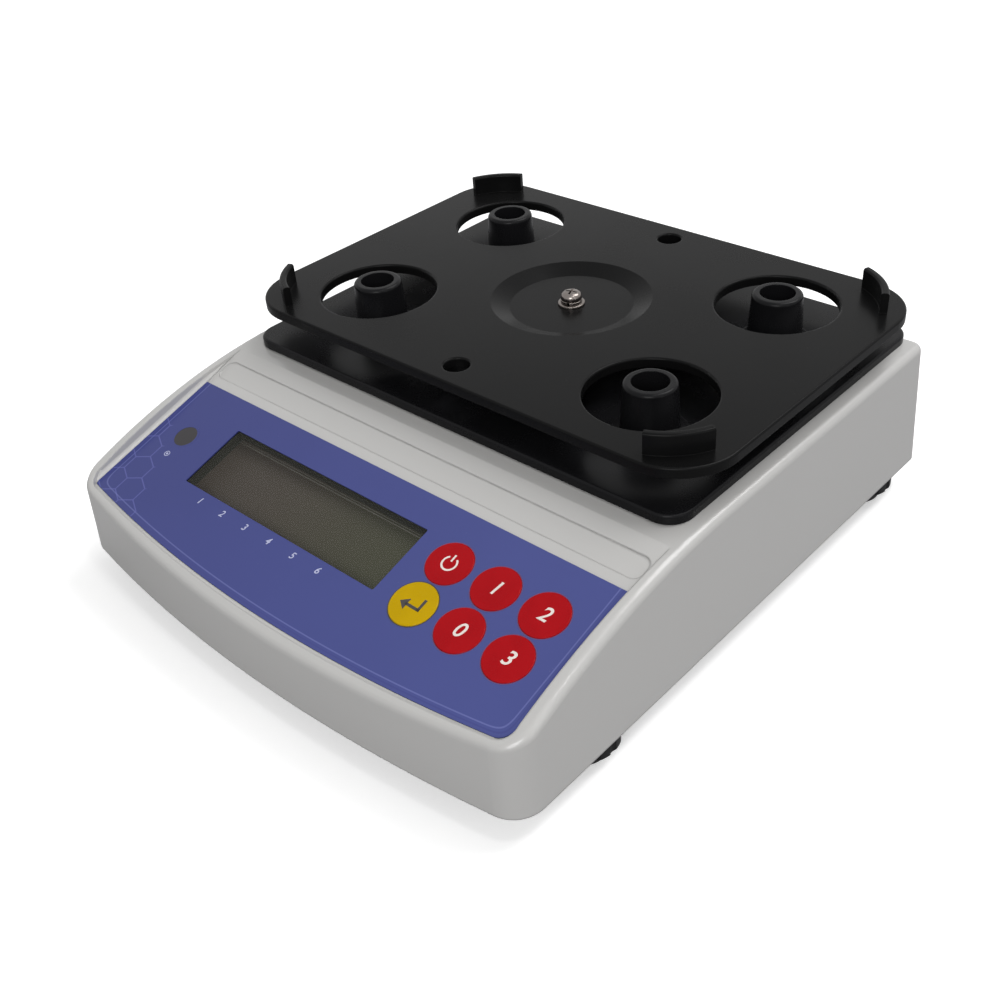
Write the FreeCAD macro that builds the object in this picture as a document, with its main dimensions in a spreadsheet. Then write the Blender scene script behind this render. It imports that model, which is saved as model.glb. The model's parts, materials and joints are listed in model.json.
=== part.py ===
import FreeCAD, Part
import math
import os

import Sketcher

# Benchtop density meter: a balance housing with a sloped membrane panel, a lower tray with four
# posts that carries the water tank, and a weighing plate that rides on a load cell in between.
# The origin is at bench level under the middle of the housing. +X is to the operator's right,
# the operator sits at -Y, +Z is up. Lengths are in millimetres, angles in degrees.

DIMENSIONS = {
    # Housing, a moulded shell open at the bottom
    "foot_gap": 11.0,
    "housing_rise": 44.0,
    "housing_width": 194.0,
    "housing_front": 107.5,
    "housing_back": 107.5,
    "front_bow": 8.6,
    "draft": 2.6,
    "front_corner": 10.0,
    "back_corner": 4.0,
    "rim_round": 2.4,
    "wall": 2.6,
    "deck_wall": 3.0,
    "nose_lead": 37.4,
    "nose_radius": 210.0,
    # Sloped panel, sunk a little below the nose at the back and front edge of its film
    "film_front_margin": 5.384,
    "panel_run": 55.716,
    "panel_sink_back": 2.713,
    "panel_sink_front": 1.119,
    "film_inset": 7.0,
    "film_thickness": 0.4,
    "film_corner_left": 1.5,
    "film_corner_right": 5.0,
    "recess_margin": 1.2,
    "recess_corner": 5.5,
    "recess_back": 24.0,
    "recess_clear": 16.0,
    "slot_height": 8.0,
    "slot_depth": 0.5,
    "slot_up": 7.9,
    "slot_corner": 3.0,
    # Display under the film
    "window_height": 23.9,
    "window_margin_left": 29.6,
    "window_margin_right": 63.1,
    "window_down": 22.67,
    "window_corner": 0.5,
    "lens_lap": 1.8,
    "lens_thickness": 0.8,
    "lcd_border": 3.4,
    "lcd_spacer": 1.4,
    "lcd_glass_thickness": 2.4,
    # Level window and bubble level
    "level_inset": 13.7,
    "level_down": 21.4,
    "level_window": 4.8,
    "vial_radius": 6.0,
    "vial_height": 5.5,
    "vial_wall": 0.9,
    "vial_below_film": 2.1,
    "bubble_space": 0.6,
    "level_seat_floor": 1.5,
    # Keys and their switches
    "key_radius": 7.25,
    "key_inset": 14.7,
    "key_down": 16.8,
    "key_column": 17.25,
    "key_row": 15.4,
    "key_proud": 0.3,
    "key_gap": 0.15,
    "key_edge_round": 0.25,
    "key_disc": 1.6,
    "key_stem_radius": 2.0,
    "key_travel": 0.3,
    "key_over_travel": 0.05,
    "switch_side": 6.0,
    "switch_body": 3.5,
    "switch_button": 1.75,
    "switch_button_rise": 0.8,
    # Main board
    "board_drop": 9.0,
    "board_margin_left": 24.0,
    "board_margin_right": 6.0,
    "board_depth": 46.0,
    "board_thickness": 1.6,
    "board_corner": 1.5,
    "board_down": 27.0,
    "chip_side": 14.0,
    "chip_thickness": 1.8,
    "plug_block_length": 16.0,
    "plug_block_depth": 5.0,
    "plug_block_height": 6.0,
    "standoff_radius": 3.0,
    "standoff_inset": 3.5,
    "standoff_beside_window": 8.1,
    # Screws, by shank radius
    "small_screw": 1.25,
    "case_screw": 1.5,
    "tray_screw": 2.0,
    "cell_screw": 2.5,
    "screw_clearance": 0.2,
    "screw_grip": 0.02,
    "boss_depth": 12.0,
    "head_radius_share": 1.8,
    "head_height_share": 1.1,
    "head_rim_share": 0.4,
    "head_crown_share": 0.72,
    "screw_tip_share": 0.7,
    "screw_point_share": 0.6,
    # Bottom cover
    "base_inset": 0.4,
    "base_lift": 0.5,
    "base_thickness": 2.5,
    "base_rib_height": 3.0,
    "base_rib_width": 1.6,
    "case_boss_radius": 4.0,
    "case_boss_inset": 8.0,
    "case_boss_front_inset": 27.5,
    "case_boss_back_inset": 45.5,
    # Feet
    "foot_inset": 12.0,
    "foot_front_inset": 46.5,
    "foot_back_inset": 17.5,
    "pad_radius": 7.4,
    "pad_height": 3.0,
    "pad_edge": 0.8,
    "wheel_radius": 11.0,
    "wheel_cone": 2.6,
    "wheel_height": 6.5,
    "wheel_flute": 1.6,
    "wheel_flute_depth": 0.7,
    "stud_radius": 3.0,
    "stud_length": 15.5,
    "stud_fit": 0.05,
    "insert_radius": 4.5,
    "insert_length": 8.0,
    "insert_flange": 6.0,
    "insert_flange_thickness": 1.0,
    "foot_boss_radius": 7.0,
    # Load cell with its mounts
    "cell_width": 12.7,
    "cell_height": 12.7,
    "cell_length": 80.0,
    "cell_overhang": 12.0,
    "cell_rise": 16.0,
    "cell_corner": 0.5,
    "cell_bore": 4.6,
    "cell_bore_spacing": 18.0,
    "cell_slit": 3.0,
    "cell_screw_spacing": 12.0,
    "cell_screw_setback": 8.0,
    "spacer_width": 18.0,
    "spacer_length": 28.0,
    "spacer_corner": 1.5,
    "stop_gap": 0.7,
    "stop_setback": 3.6,
    # Hub that carries the weighing plate
    "hub_radius": 6.2,
    "hub_flange": 14.0,
    "hub_flange_thickness": 3.0,
    "hub_flange_round": 1.5,
    "hub_hole": 10.0,
    "hub_screw_depth": 8.0,
    # Lower tray and posts
    "tray_inset": 4.6,
    "tray_overreach": 1.5,
    "tray_thickness": 3.0,
    "tray_corner": 8.0,
    "tray_round": 0.9,
    "tray_seat": 11.5,
    "tray_seat_rise": 0.6,
    "post_top_radius": 8.14,
    "post_foot_radius": 9.0,
    "post_proud": 3.8,
    "post_bore": 5.7,
    "post_floor": 5.0,
    "post_round": 1.2,
    "tray_boss_radius": 4.6,
    "tray_screw_length": 17.0,
    # Weighing plate
    "plate_rise": 16.0,
    "plate_inset": 3.0,
    "plate_back_inset": 2.1,
    "plate_depth": 128.8,
    "plate_thickness": 3.2,
    "plate_corner": 20.0,
    "plate_round": 0.7,
    "plate_hole": 19.9,
    "hole_rim_side": 16.9,
    "hole_rim_end": 10.7,
    "pin_hole": 4.1,
    "pin_hole_inset": 9.4,
    "dish_radius": 26.8,
    "dish_floor": 20.5,
    "dish_depth": 2.5,
    "tab_inset_side": 29.5,
    "tab_inset_end": 28.0,
    "tab_radius": 25.0,
    "tab_thickness": 2.5,
    "tab_height": 6.8,
    "tab_half_angle": 22.0,
    "tab_middle_angle": 46.0,
    "tab_round": 0.8,
    "washer_radius": 4.5,
    "washer_thickness": 0.8,
    "spring_washer_radius": 3.6,
    "spring_washer_thickness": 1.1,
    "spring_washer_gap_angle": 14.0,
    "plate_screw_length": 11.0,
    "plate_screw_head": 3.5,
    "plate_screw_head_height": 2.6,
    # Connector bay in the back wall
    "bay_inset": 50.0,
    "bay_width": 54.0,
    "bay_height": 20.0,
    "bay_low": 14.0,
    "bay_depth": 12.0,
    "bay_wall": 2.0,
    "socket_offset": 17.0,
    "socket_radius": 5.6,
    "socket_bore": 3.1,
    "socket_pin": 1.05,
    "socket_rim": 1.2,
    "socket_depth": 9.0,
    "serial_offset": 10.0,
    "serial_flange_width": 31.0,
    "serial_flange_height": 12.5,
    "serial_flange_thickness": 0.9,
    "serial_shell_width": 17.0,
    "serial_shell_height": 8.6,
    "serial_shell_depth": 5.4,
    "serial_shell_slant": 1.2,
    "serial_body_width": 19.2,
    "serial_body_height": 10.6,
    "serial_body_depth": 9.0,
    "serial_screw_spacing": 25.0,
    "serial_screw_radius": 2.4,
    "serial_screw_height": 4.6,
    # Fits and cuts
    "seat_gap": 0.3,
    "overrun": 1.0,
}

# Where each key sits: columns in from the right-hand one, rows down from the top
KEY_PLACES = {
    "key_on_off": (2, 0),
    "key_1": (1, 0),
    "key_2": (0, 0),
    "key_enter": (2, 1),
    "key_zero": (1, 1),
    "key_3": (0, 1),
}

# Corner names with the sign of X and of Y measured from the middle
CORNERS = {
    "front_left": (-1, -1),
    "front_right": (1, -1),
    "back_left": (-1, 1),
    "back_right": (1, 1),
}

WHEEL_FLUTES = 12


class Size:
    """A number together with the sheet formula that gives it."""

    def __init__(self, value, text):
        self.value = float(value)
        self.text = text

    def __add__(self, other):
        other = as_size(other)
        return Size(self.value + other.value, f"({self.text} + {other.text})")

    def __sub__(self, other):
        other = as_size(other)
        return Size(self.value - other.value, f"({self.text} - {other.text})")

    def __rsub__(self, other):
        return as_size(other) - self

    def __mul__(self, other):
        other = as_size(other)
        return Size(self.value * other.value, f"({self.text} * {other.text})")

    def __truediv__(self, other):
        other = as_size(other)
        return Size(self.value / other.value, f"({self.text} / {other.text})")

    def __neg__(self):
        return Size(-self.value, f"(0 - {self.text})")

    __radd__ = __add__
    __rmul__ = __mul__


def as_size(number):
    return number if isinstance(number, Size) else Size(number, repr(number))


def cos(angle):
    return Size(math.cos(math.radians(angle.value)), f"cos({angle.text})")


def sin(angle):
    return Size(math.sin(math.radians(angle.value)), f"sin({angle.text})")


def arctan(ratio):
    return Size(math.degrees(math.atan(ratio.value)), f"(atan({ratio.text}) / 1 deg)")


def root(number):
    return Size(math.sqrt(number.value), f"sqrt({number.text})")


class Sizes:
    """Every driving dimension by name, as an attribute."""

    def __init__(self, sheet, table):
        self.sheet = sheet
        self.rows = 0
        for alias, value in table.items():
            self.add_row(alias, value, str(value))

    def add_row(self, alias, value, content):
        """Give a size its own row in the sheet: a plain number or a formula."""
        self.rows += 1
        self.sheet.set(f"A{self.rows}", alias)
        self.sheet.set(f"B{self.rows}", content)
        self.sheet.setAlias(f"B{self.rows}", alias)
        setattr(self, alias, Size(value, f"Sizes.{alias}"))

    def work_out(self, alias, size):
        """Keep a size that follows from others as a row with its formula."""
        self.add_row(alias, size.value, "=" + size.text.replace("Sizes.", ""))


doc = FreeCAD.newDocument("density_meter")
sheet = doc.addObject("Spreadsheet::Sheet", "Sizes")
s = Sizes(sheet, DIMENSIONS)
doc.recompute()

nodes = {}


def node(name, thing):
    """Register a finished sub-part under its own name."""
    thing.Label = name
    nodes[name] = thing
    return thing


def bind(thing, path, size):
    """Tie a property to the sheet, or set a plain zero."""
    thing.setExpression(path, as_size(size).text)


def place(thing, x=0, y=0, z=0, axis=None, angle=None):
    """Put an object at a point, turned about an axis by an angle."""
    if axis:
        thing.Placement = FreeCAD.Placement(FreeCAD.Vector(), FreeCAD.Rotation(axis, angle.value))
        bind(thing, "Placement.Rotation.Angle", angle)
    bind(thing, "Placement.Base.x", x)
    bind(thing, "Placement.Base.y", y)
    bind(thing, "Placement.Base.z", z)
    return thing


X_AXIS = FreeCAD.Vector(1, 0, 0)
Z_AXIS = FreeCAD.Vector(0, 0, 1)
QUARTER_TURN = Size(90, "90")


# Levels and places that several pieces share
deck = s.foot_gap + s.housing_rise
base_top = s.foot_gap + s.base_lift + s.base_thickness
cell_level = base_top + s.cell_rise
cell_top = cell_level + s.cell_height
tray_top = deck + s.tray_thickness
plate_height = deck + s.plate_rise
post_top = plate_height + s.post_proud
dish_floor_level = plate_height - s.dish_depth
hub_top = dish_floor_level - s.plate_thickness
panel_front = s.housing_front - s.film_front_margin
panel_back = panel_front - s.panel_run
nose_start = panel_back - s.nose_lead
film_width = s.housing_width - 2 * s.film_inset
window_width = film_width - s.window_margin_left - s.window_margin_right
window_x = (s.window_margin_left - s.window_margin_right) / 2
window_y = -s.window_down
level_left = film_width / 2 - s.level_inset
plate_width = s.housing_width - 2 * s.plate_inset
plate_centre = s.housing_back - s.plate_back_inset - s.plate_depth / 2
tray_width = plate_width - 2 * s.tray_inset
tray_depth = s.plate_depth + 2 * s.tray_overreach
post_side = plate_width / 2 - s.plate_hole - s.hole_rim_side
post_reach = s.plate_depth / 2 - s.plate_hole - s.hole_rim_end
foot_front = s.housing_front - s.foot_front_inset
bow_radius = (s.housing_width * s.housing_width / 4 + s.front_bow * s.front_bow) / (2 * s.front_bow)


def nose_fall(reach):
    """How far the nose lies below the deck at a distance to the front of the middle."""
    run = reach - nose_start
    return s.nose_radius - root(s.nose_radius * s.nose_radius - run * run)


# The panel's two edges follow the nose over it, and its slope follows from the two
panel_drop = nose_fall(panel_back) + s.panel_sink_back
front_drop = nose_fall(panel_front) + s.panel_sink_front
s.work_out("panel_slope", arctan((front_drop - panel_drop) / s.panel_run))
film_length = s.panel_run / cos(s.panel_slope)
doc.recompute()


def panel_point(right, up, out):
    """Bench coordinates of a point given on the sloped panel: right, up the slope, out of it."""
    y = -panel_back + up * cos(s.panel_slope) - out * sin(s.panel_slope)
    z = deck - panel_drop + up * sin(s.panel_slope) + out * cos(s.panel_slope)
    return as_size(right), y, z


def place_on_panel(thing, right, up, out):
    x, y, z = panel_point(as_size(right), as_size(up), as_size(out))
    return place(thing, x, y, z, X_AXIS, s.panel_slope)


def new_body(name):
    return doc.addObject("PartDesign::Body", name)


def new_sketch(body, name, role="XY_Plane", lift=0):
    """A sketch on one of its body's origin planes, moved out along the plane's normal."""
    sketch = body.newObject("Sketcher::SketchObject", name)
    plane = next(item for item in body.Origin.OriginFeatures if item.Role == role)
    sketch.AttachmentSupport = [(plane, "")]
    sketch.MapMode = "FlatFace"
    bind(sketch, "AttachmentOffset.Base.z", lift)
    return sketch


def panel_sketch(body, name, out=0):
    """A sketch in the plane of the sloped panel, whose origin is the film's back edge."""
    sketch = new_sketch(body, name)
    turn = FreeCAD.Rotation(X_AXIS, s.panel_slope.value)
    sketch.AttachmentOffset = FreeCAD.Placement(FreeCAD.Vector(), turn)
    x, y, z = panel_point(0, as_size(0), as_size(out))
    bind(sketch, "AttachmentOffset.Rotation.Angle", s.panel_slope)
    bind(sketch, "AttachmentOffset.Base.y", y)
    bind(sketch, "AttachmentOffset.Base.z", z)
    return sketch


def pin_point(sketch, geometry, end, x, y):
    """Fix one point of a sketch at a distance from the sketch's origin."""
    for kind, size in (("DistanceX", as_size(x)), ("DistanceY", as_size(y))):
        index = sketch.addConstraint(Sketcher.Constraint(kind, -1, 1, geometry, end, size.value))
        bind(sketch, f"Constraints[{index}]", size)


def pin_radius(sketch, geometry, radius):
    index = sketch.addConstraint(Sketcher.Constraint("Radius", geometry, radius.value))
    bind(sketch, f"Constraints[{index}]", radius)


def draw_circle(sketch, x, y, radius):
    centre = FreeCAD.Vector(as_size(x).value, as_size(y).value, 0)
    geometry = sketch.addGeometry(Part.Circle(centre, Z_AXIS, radius.value))
    pin_point(sketch, geometry, 3, x, y)
    pin_radius(sketch, geometry, radius)


def arc_between(start, end, radius):
    """The short arc from start to end, counterclockwise when the radius is positive."""
    if radius < 0:
        return arc_between(end, start, -radius)
    chord = end - start
    half = chord.Length / 2
    left = FreeCAD.Vector(-chord.y, chord.x, 0).normalize()
    centre = (start + end) / 2 + left * math.sqrt(max(radius * radius - half * half, 0))
    first = math.atan2(start.y - centre.y, start.x - centre.x)
    last = math.atan2(end.y - centre.y, end.x - centre.x)
    return Part.ArcOfCircle(Part.Circle(centre, Z_AXIS, radius), first, last)


def draw_path(sketch, points):
    """A closed outline. A point's third value is the radius of an arc to the next point:
    positive turns left and negative turns right."""
    ends = []
    for index, point in enumerate(points):
        following = points[(index + 1) % len(points)]
        start = FreeCAD.Vector(as_size(point[0]).value, as_size(point[1]).value, 0)
        end = FreeCAD.Vector(as_size(following[0]).value, as_size(following[1]).value, 0)
        if len(point) == 3:
            geometry = sketch.addGeometry(arc_between(start, end, point[2].value))
            pin_radius(sketch, geometry, point[2] if point[2].value > 0 else -point[2])
            ends.append((geometry, 1, 2) if point[2].value > 0 else (geometry, 2, 1))
        else:
            ends.append((sketch.addGeometry(Part.LineSegment(start, end)), 1, 2))
    for index, (geometry, start, end) in enumerate(ends):
        following = ends[(index + 1) % len(ends)]
        sketch.addConstraint(
            Sketcher.Constraint("Coincident", geometry, end, following[0], following[1])
        )
        pin_point(sketch, geometry, start, points[index][0], points[index][1])


def rounded_rectangle(x, y, width, depth, radius):
    """Points of a rectangle with round corners about a middle point."""
    left = x - width / 2
    right = x + width / 2
    low = y - depth / 2
    high = y + depth / 2
    return [
        (left + radius, low),
        (right - radius, low, radius),
        (right, low + radius),
        (right, high - radius, radius),
        (right - radius, high),
        (left + radius, high, radius),
        (left, high - radius),
        (left, low + radius, radius),
    ]


def pad(body, sketch, length, taper=None, down=False):
    feature = body.newObject("PartDesign::Pad", "Pad")
    feature.Profile = sketch
    bind(feature, "Length", length)
    feature.Reversed = down
    if taper:
        bind(feature, "TaperAngle", taper)
    doc.recompute()
    return feature


def pocket(body, sketch, length, up=False, both=False):
    """Cut a sketch into the body, and make sure that the cut took something away."""
    before = body.Shape.Volume
    feature = body.newObject("PartDesign::Pocket", "Pocket")
    feature.Profile = sketch
    bind(feature, "Length", length)
    feature.Reversed = up
    if both:
        feature.SideType = "Symmetric"
    doc.recompute()
    assert body.Shape.Volume < before, f"{sketch.Name} cuts nothing"
    return feature


def revolve(body, sketch, cut=False, angle=None):
    """Turn a sketch about its own vertical axis, to add or to cut."""
    before = body.Shape.Volume if cut else 0
    feature = body.newObject("PartDesign::Groove" if cut else "PartDesign::Revolution", "Turned")
    feature.Profile = sketch
    feature.ReferenceAxis = (sketch, ["V_Axis"])
    if angle:
        bind(feature, "Angle", angle)
    doc.recompute()
    assert not cut or body.Shape.Volume < before, f"{sketch.Name} cuts nothing"
    return feature


def turned(name, profile, angle=None):
    """A body of revolution about Z from the points of half its section."""
    body = new_body(name)
    sketch = new_sketch(body, f"{name}_section", "XZ_Plane")
    draw_path(sketch, profile)
    revolve(body, sketch, angle=angle)
    return body


def edges_where(shape, test):
    """Names of the edges of a shape that pass a test."""
    return [f"Edge{index}" for index, edge in enumerate(shape.Edges, 1) if test(edge)]


def soften(body, radius, test, kind="Fillet"):
    """Round or chamfer the edges of a body that pass a test."""
    tip = body.Tip
    feature = body.newObject(f"PartDesign::{kind}", kind)
    feature.Base = (tip, edges_where(tip.Shape, test))
    bind(feature, "Radius" if kind == "Fillet" else "Size", radius)
    doc.recompute()
    return feature


def cylinder(name, radius, height):
    thing = doc.addObject("Part::Cylinder", name)
    bind(thing, "Radius", radius)
    bind(thing, "Height", height)
    return thing


def box(name, width, depth, height):
    thing = doc.addObject("Part::Box", name)
    bind(thing, "Length", width)
    bind(thing, "Width", depth)
    bind(thing, "Height", height)
    return thing


def joined(kind, name, things):
    thing = doc.addObject(f"Part::{kind}", name)
    if kind == "Compound":
        thing.Links = things
    else:
        thing.Shapes = things
    return thing


def cut(name, base, tool):
    thing = doc.addObject("Part::Cut", name)
    thing.Base = base
    thing.Tool = tool
    return thing


def fuse(name, things):
    return joined("MultiFuse", name, things)


def common(name, things):
    return joined("MultiCommon", name, things)


def group(name, things):
    return joined("Compound", name, things)


def pan_screw(name, shank, length):
    """A pan-head screw whose head rests on z = 0 and whose shank points down."""
    head = shank * s.head_radius_share
    rise = shank * s.head_height_share
    return turned(
        name,
        [
            (0, -length),
            (shank * s.screw_tip_share, -length),
            (shank, -length + shank * s.screw_point_share),
            (shank, 0),
            (head, 0),
            (head, rise * s.head_rim_share),
            (head * s.head_crown_share, rise),
            (0, rise),
        ],
    )


def is_upright(edge):
    """Whether an edge rises more than it runs."""
    first, last = edge.Vertexes[0].Point, edge.Vertexes[-1].Point
    return abs(first.z - last.z) > math.hypot(first.x - last.x, first.y - last.y)


def draw_housing_plan(sketch, inset):
    """The housing's outline from above, drawn in by an inset: three straight sides, a bowed front."""
    side = s.housing_width / 2 - inset
    back = s.housing_back - inset
    radius = bow_radius - inset
    sag = radius - root(radius * radius - side * side)
    front = -s.housing_front + inset + sag
    draw_path(sketch, [(side, back), (-side, back), (-side, front, radius), (side, front)])


def round_plan_corners(body, inset):
    """Round the upright corners of a housing plan, wider at the front than at the back."""
    soften(body, s.front_corner - inset, lambda e: is_upright(e) and e.CenterOfMass.y < 0)
    soften(body, s.back_corner - inset, lambda e: is_upright(e) and e.CenterOfMass.y > 0)


# Housing skin: a drafted block whose front falls away in one long arc
skin = new_body("housing_skin")
plan = new_sketch(skin, "skin_plan", lift=s.foot_gap)
draw_housing_plan(plan, as_size(0))
pad(skin, plan, s.housing_rise, taper=-s.draft)
round_plan_corners(skin, 0)

nose_reach = s.housing_front + s.overrun
nose = new_sketch(skin, "nose_profile", "YZ_Plane")
draw_path(
    nose,
    [
        (-nose_start, deck, s.nose_radius),
        (-nose_reach, deck - nose_fall(nose_reach)),
        (-nose_reach, deck + s.overrun),
        (-nose_start, deck + s.overrun),
    ],
)
pocket(skin, nose, s.housing_width + s.overrun, both=True)


def is_top_rim(edge):
    low = min(vertex.Z for vertex in edge.Vertexes)
    across = abs(edge.Vertexes[0].Y + nose_start.value) < s.seat_gap.value
    seam = across and abs(edge.Vertexes[-1].Y + nose_start.value) < s.seat_gap.value
    return low > s.foot_gap.value + s.housing_rise.value / 4 and not seam and not is_upright(edge)


soften(skin, s.rim_round, is_top_rim)


def draw_film(sketch, margin, left_corner, right_corner, back):
    """The film's outline, grown by a margin: straight back and sides, a bowed front."""
    side = film_width / 2 + margin
    apex = -film_length - margin
    sag = bow_radius - root(bow_radius * bow_radius - side * side)
    front = apex + sag
    slope = side / bow_radius
    points = [(side, back), (-side, back)]
    points += [(-side, front + left_corner, left_corner)]
    points += [(-side + left_corner, front - left_corner * slope, bow_radius)]
    points += [(side - right_corner, front - right_corner * slope, right_corner)]
    points += [(side, front + right_corner)]
    draw_path(sketch, points)


# Recess for the panel, its slot, and the openings through the sloped wall
recess = panel_sketch(skin, "panel_recess")
draw_film(recess, s.recess_margin, s.recess_corner, s.recess_corner, s.recess_back)
pocket(skin, recess, s.recess_clear, up=True)

slot = panel_sketch(skin, "panel_slot")
draw_path(slot, rounded_rectangle(as_size(0), s.slot_up, film_width, s.slot_height, s.slot_corner))
pocket(skin, slot, s.slot_depth)

window = panel_sketch(skin, "window_opening")
draw_path(
    window,
    rounded_rectangle(window_x, window_y, window_width, s.window_height, s.window_corner),
)
pocket(skin, window, s.wall + s.overrun)

rebate = panel_sketch(skin, "lens_rebate")
draw_path(
    rebate,
    rounded_rectangle(
        window_x,
        window_y,
        window_width + 2 * (s.lens_lap + s.seat_gap),
        s.window_height + 2 * (s.lens_lap + s.seat_gap),
        s.window_corner,
    ),
)
pocket(skin, rebate, s.lens_thickness)


def key_middle(name):
    column, row = KEY_PLACES[name]
    x = film_width / 2 - s.key_inset - s.key_column * column
    return x, -(s.key_down + s.key_row * row)


key_holes = panel_sketch(skin, "key_openings")
for name in KEY_PLACES:
    draw_circle(key_holes, *key_middle(name), s.key_radius + 2 * s.key_gap)
pocket(skin, key_holes, s.wall + s.overrun)

hub_opening = new_sketch(skin, "hub_opening", lift=deck)
draw_circle(hub_opening, 0, plate_centre, s.hub_hole)
pocket(skin, hub_opening, s.deck_wall + s.overrun)

# Hollow of the housing
core = new_body("housing_core")
core_plan = new_sketch(core, "core_plan", lift=s.foot_gap - s.overrun)
draw_housing_plan(core_plan, s.wall)
pad(core, core_plan, s.housing_rise + s.overrun, taper=-s.draft)
round_plan_corners(core, s.wall)

ceiling = deck - s.deck_wall
slope_tangent = sin(s.panel_slope) / cos(s.panel_slope)
panel_ceiling = deck - panel_drop - s.wall / cos(s.panel_slope)
fold_y = -panel_back + (ceiling - panel_ceiling) / slope_tangent
ceiling_profile = new_sketch(core, "ceiling_profile", "YZ_Plane")
draw_path(
    ceiling_profile,
    [
        (s.housing_back, ceiling),
        (fold_y, ceiling),
        (-nose_reach, panel_ceiling - (nose_reach - panel_back) * slope_tangent),
        (-nose_reach, deck + s.overrun),
        (s.housing_back, deck + s.overrun),
    ],
)
pocket(core, ceiling_profile, s.housing_width, both=True)
shell = cut("housing_shell", skin, core)

# Bosses inside the housing, trimmed by its skin
case_boss_side = s.housing_width / 2 - s.case_boss_inset
case_boss_back = s.housing_back - s.case_boss_back_inset
case_boss_front = s.housing_front - s.case_boss_front_inset
case_bosses = {
    name: (x_sign * case_boss_side, case_boss_back if y_sign > 0 else -case_boss_front)
    for name, (x_sign, y_sign) in CORNERS.items()
}
post_places = {
    name: (x_sign * post_side, plate_centre + y_sign * post_reach)
    for name, (x_sign, y_sign) in CORNERS.items()
}
level_x, level_y, level_z = panel_point(-level_left, -s.level_down, as_size(0))
vial_top = level_z - s.vial_below_film
vial_floor = vial_top - s.vial_height
level_seat_radius = s.vial_radius + s.seat_gap + s.wall / 2

bosses = []
for name, (x, y) in case_bosses.items():
    boss = cylinder(f"case_boss_{name}", s.case_boss_radius, deck - base_top)
    bosses.append(place(boss, x, y, base_top))
for name, (x, y) in post_places.items():
    boss = cylinder(f"tray_boss_{name}", s.tray_boss_radius, s.boss_depth)
    bosses.append(place(boss, x, y, deck - s.boss_depth))
level_seat = cylinder("level_seat", level_seat_radius, deck - vial_floor + s.level_seat_floor)
bosses.append(place(level_seat, level_x, level_y, vial_floor - s.level_seat_floor))

bay_front = s.housing_back - s.bay_depth
bay_middle = s.bay_inset - s.housing_width / 2
socket_x = bay_middle + s.socket_offset
serial_x = bay_middle - s.serial_offset
bay_floor = s.foot_gap + s.bay_low
bay_shell = box(
    "bay_shell",
    s.bay_width + 2 * s.bay_wall,
    s.bay_depth + s.bay_wall,
    s.bay_height + 2 * s.bay_wall,
)
place(
    bay_shell,
    bay_middle - s.bay_width / 2 - s.bay_wall,
    bay_front - s.bay_wall,
    bay_floor - s.bay_wall,
)
bosses.append(bay_shell)
trimmed = common("trimmed_bosses", [skin, group("bosses", bosses)])

board_width = film_width - s.board_margin_left - s.board_margin_right
board_x = (s.board_margin_left - s.board_margin_right) / 2
board_left = board_x - board_width / 2 + s.standoff_inset
board_right = board_x + board_width / 2 - s.standoff_inset
board_low = -s.board_down - s.board_depth / 2 + s.standoff_inset
board_high = -s.board_down + s.board_depth / 2 - s.standoff_inset
standoff_places = [
    (board_left, board_low),
    (board_right, board_low),
    (window_x + window_width / 2 + s.standoff_beside_window, board_high),
    (board_right, board_high),
]
standoffs = []
for index, (x, y) in enumerate(standoff_places, 1):
    standoff = cylinder(f"standoff_{index}", s.standoff_radius, s.board_drop - s.wall / 2)
    standoffs.append(place_on_panel(standoff, x, y, -s.board_drop))
solid_housing = fuse("solid_housing", [shell, trimmed, *standoffs])

# Screw holes, the level's well and the connector openings
holes = []
for name, (x, y) in case_bosses.items():
    hole = cylinder(f"case_pilot_{name}", s.case_screw + s.screw_grip, s.boss_depth)
    holes.append(place(hole, x, y, base_top - s.overrun))
for name, (x, y) in post_places.items():
    hole = cylinder(f"tray_pilot_{name}", s.tray_screw + s.screw_grip, 2 * s.boss_depth)
    holes.append(place(hole, x, y, deck - s.boss_depth - s.overrun))
well = cylinder("level_well", s.vial_radius + s.screw_grip, s.recess_clear)
holes.append(place(well, level_x, level_y, vial_floor))
for index, (x, y) in enumerate(standoff_places, 1):
    hole = cylinder(f"standoff_pilot_{index}", s.small_screw + s.screw_grip, s.board_drop - s.wall)
    holes.append(place_on_panel(hole, x, y, -s.board_drop - s.overrun))
bay_space = box("bay_space", s.bay_width, s.bay_depth + s.overrun, s.bay_height)
holes.append(place(bay_space, bay_middle - s.bay_width / 2, bay_front, bay_floor))
connector_level = bay_floor + s.bay_height / 2
socket_hole = cylinder("socket_hole", s.socket_radius, s.bay_wall + 2 * s.overrun)
socket_start = bay_front + s.overrun
holes.append(
    place(socket_hole, socket_x, socket_start, connector_level, X_AXIS, QUARTER_TURN)
)
serial_hole = box(
    "serial_hole", s.serial_body_width, s.bay_wall + 2 * s.overrun, s.serial_body_height
)
holes.append(
    place(
        serial_hole,
        serial_x - s.serial_body_width / 2,
        bay_front - s.bay_wall - s.overrun,
        connector_level - s.serial_body_height / 2,
    )
)
node("top_housing", cut("top_housing", solid_housing, group("housing_holes", holes)))


# Bottom cover: a plate inside the housing's edge, with foot bosses and stiffening ribs
foot_side = s.housing_width / 2 - s.foot_inset
foot_back = s.housing_back - s.foot_back_inset
foot_places = {
    name: (x_sign * foot_side, foot_back if y_sign > 0 else -foot_front)
    for name, (x_sign, y_sign) in CORNERS.items()
}
base_level = s.foot_gap + s.base_lift
cover = new_body("cover_plate")
cover_plan = new_sketch(cover, "cover_plan", lift=base_level)
draw_housing_plan(cover_plan, s.wall + s.base_inset)
pad(cover, cover_plan, s.base_thickness)
round_plan_corners(cover, s.wall)

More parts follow.
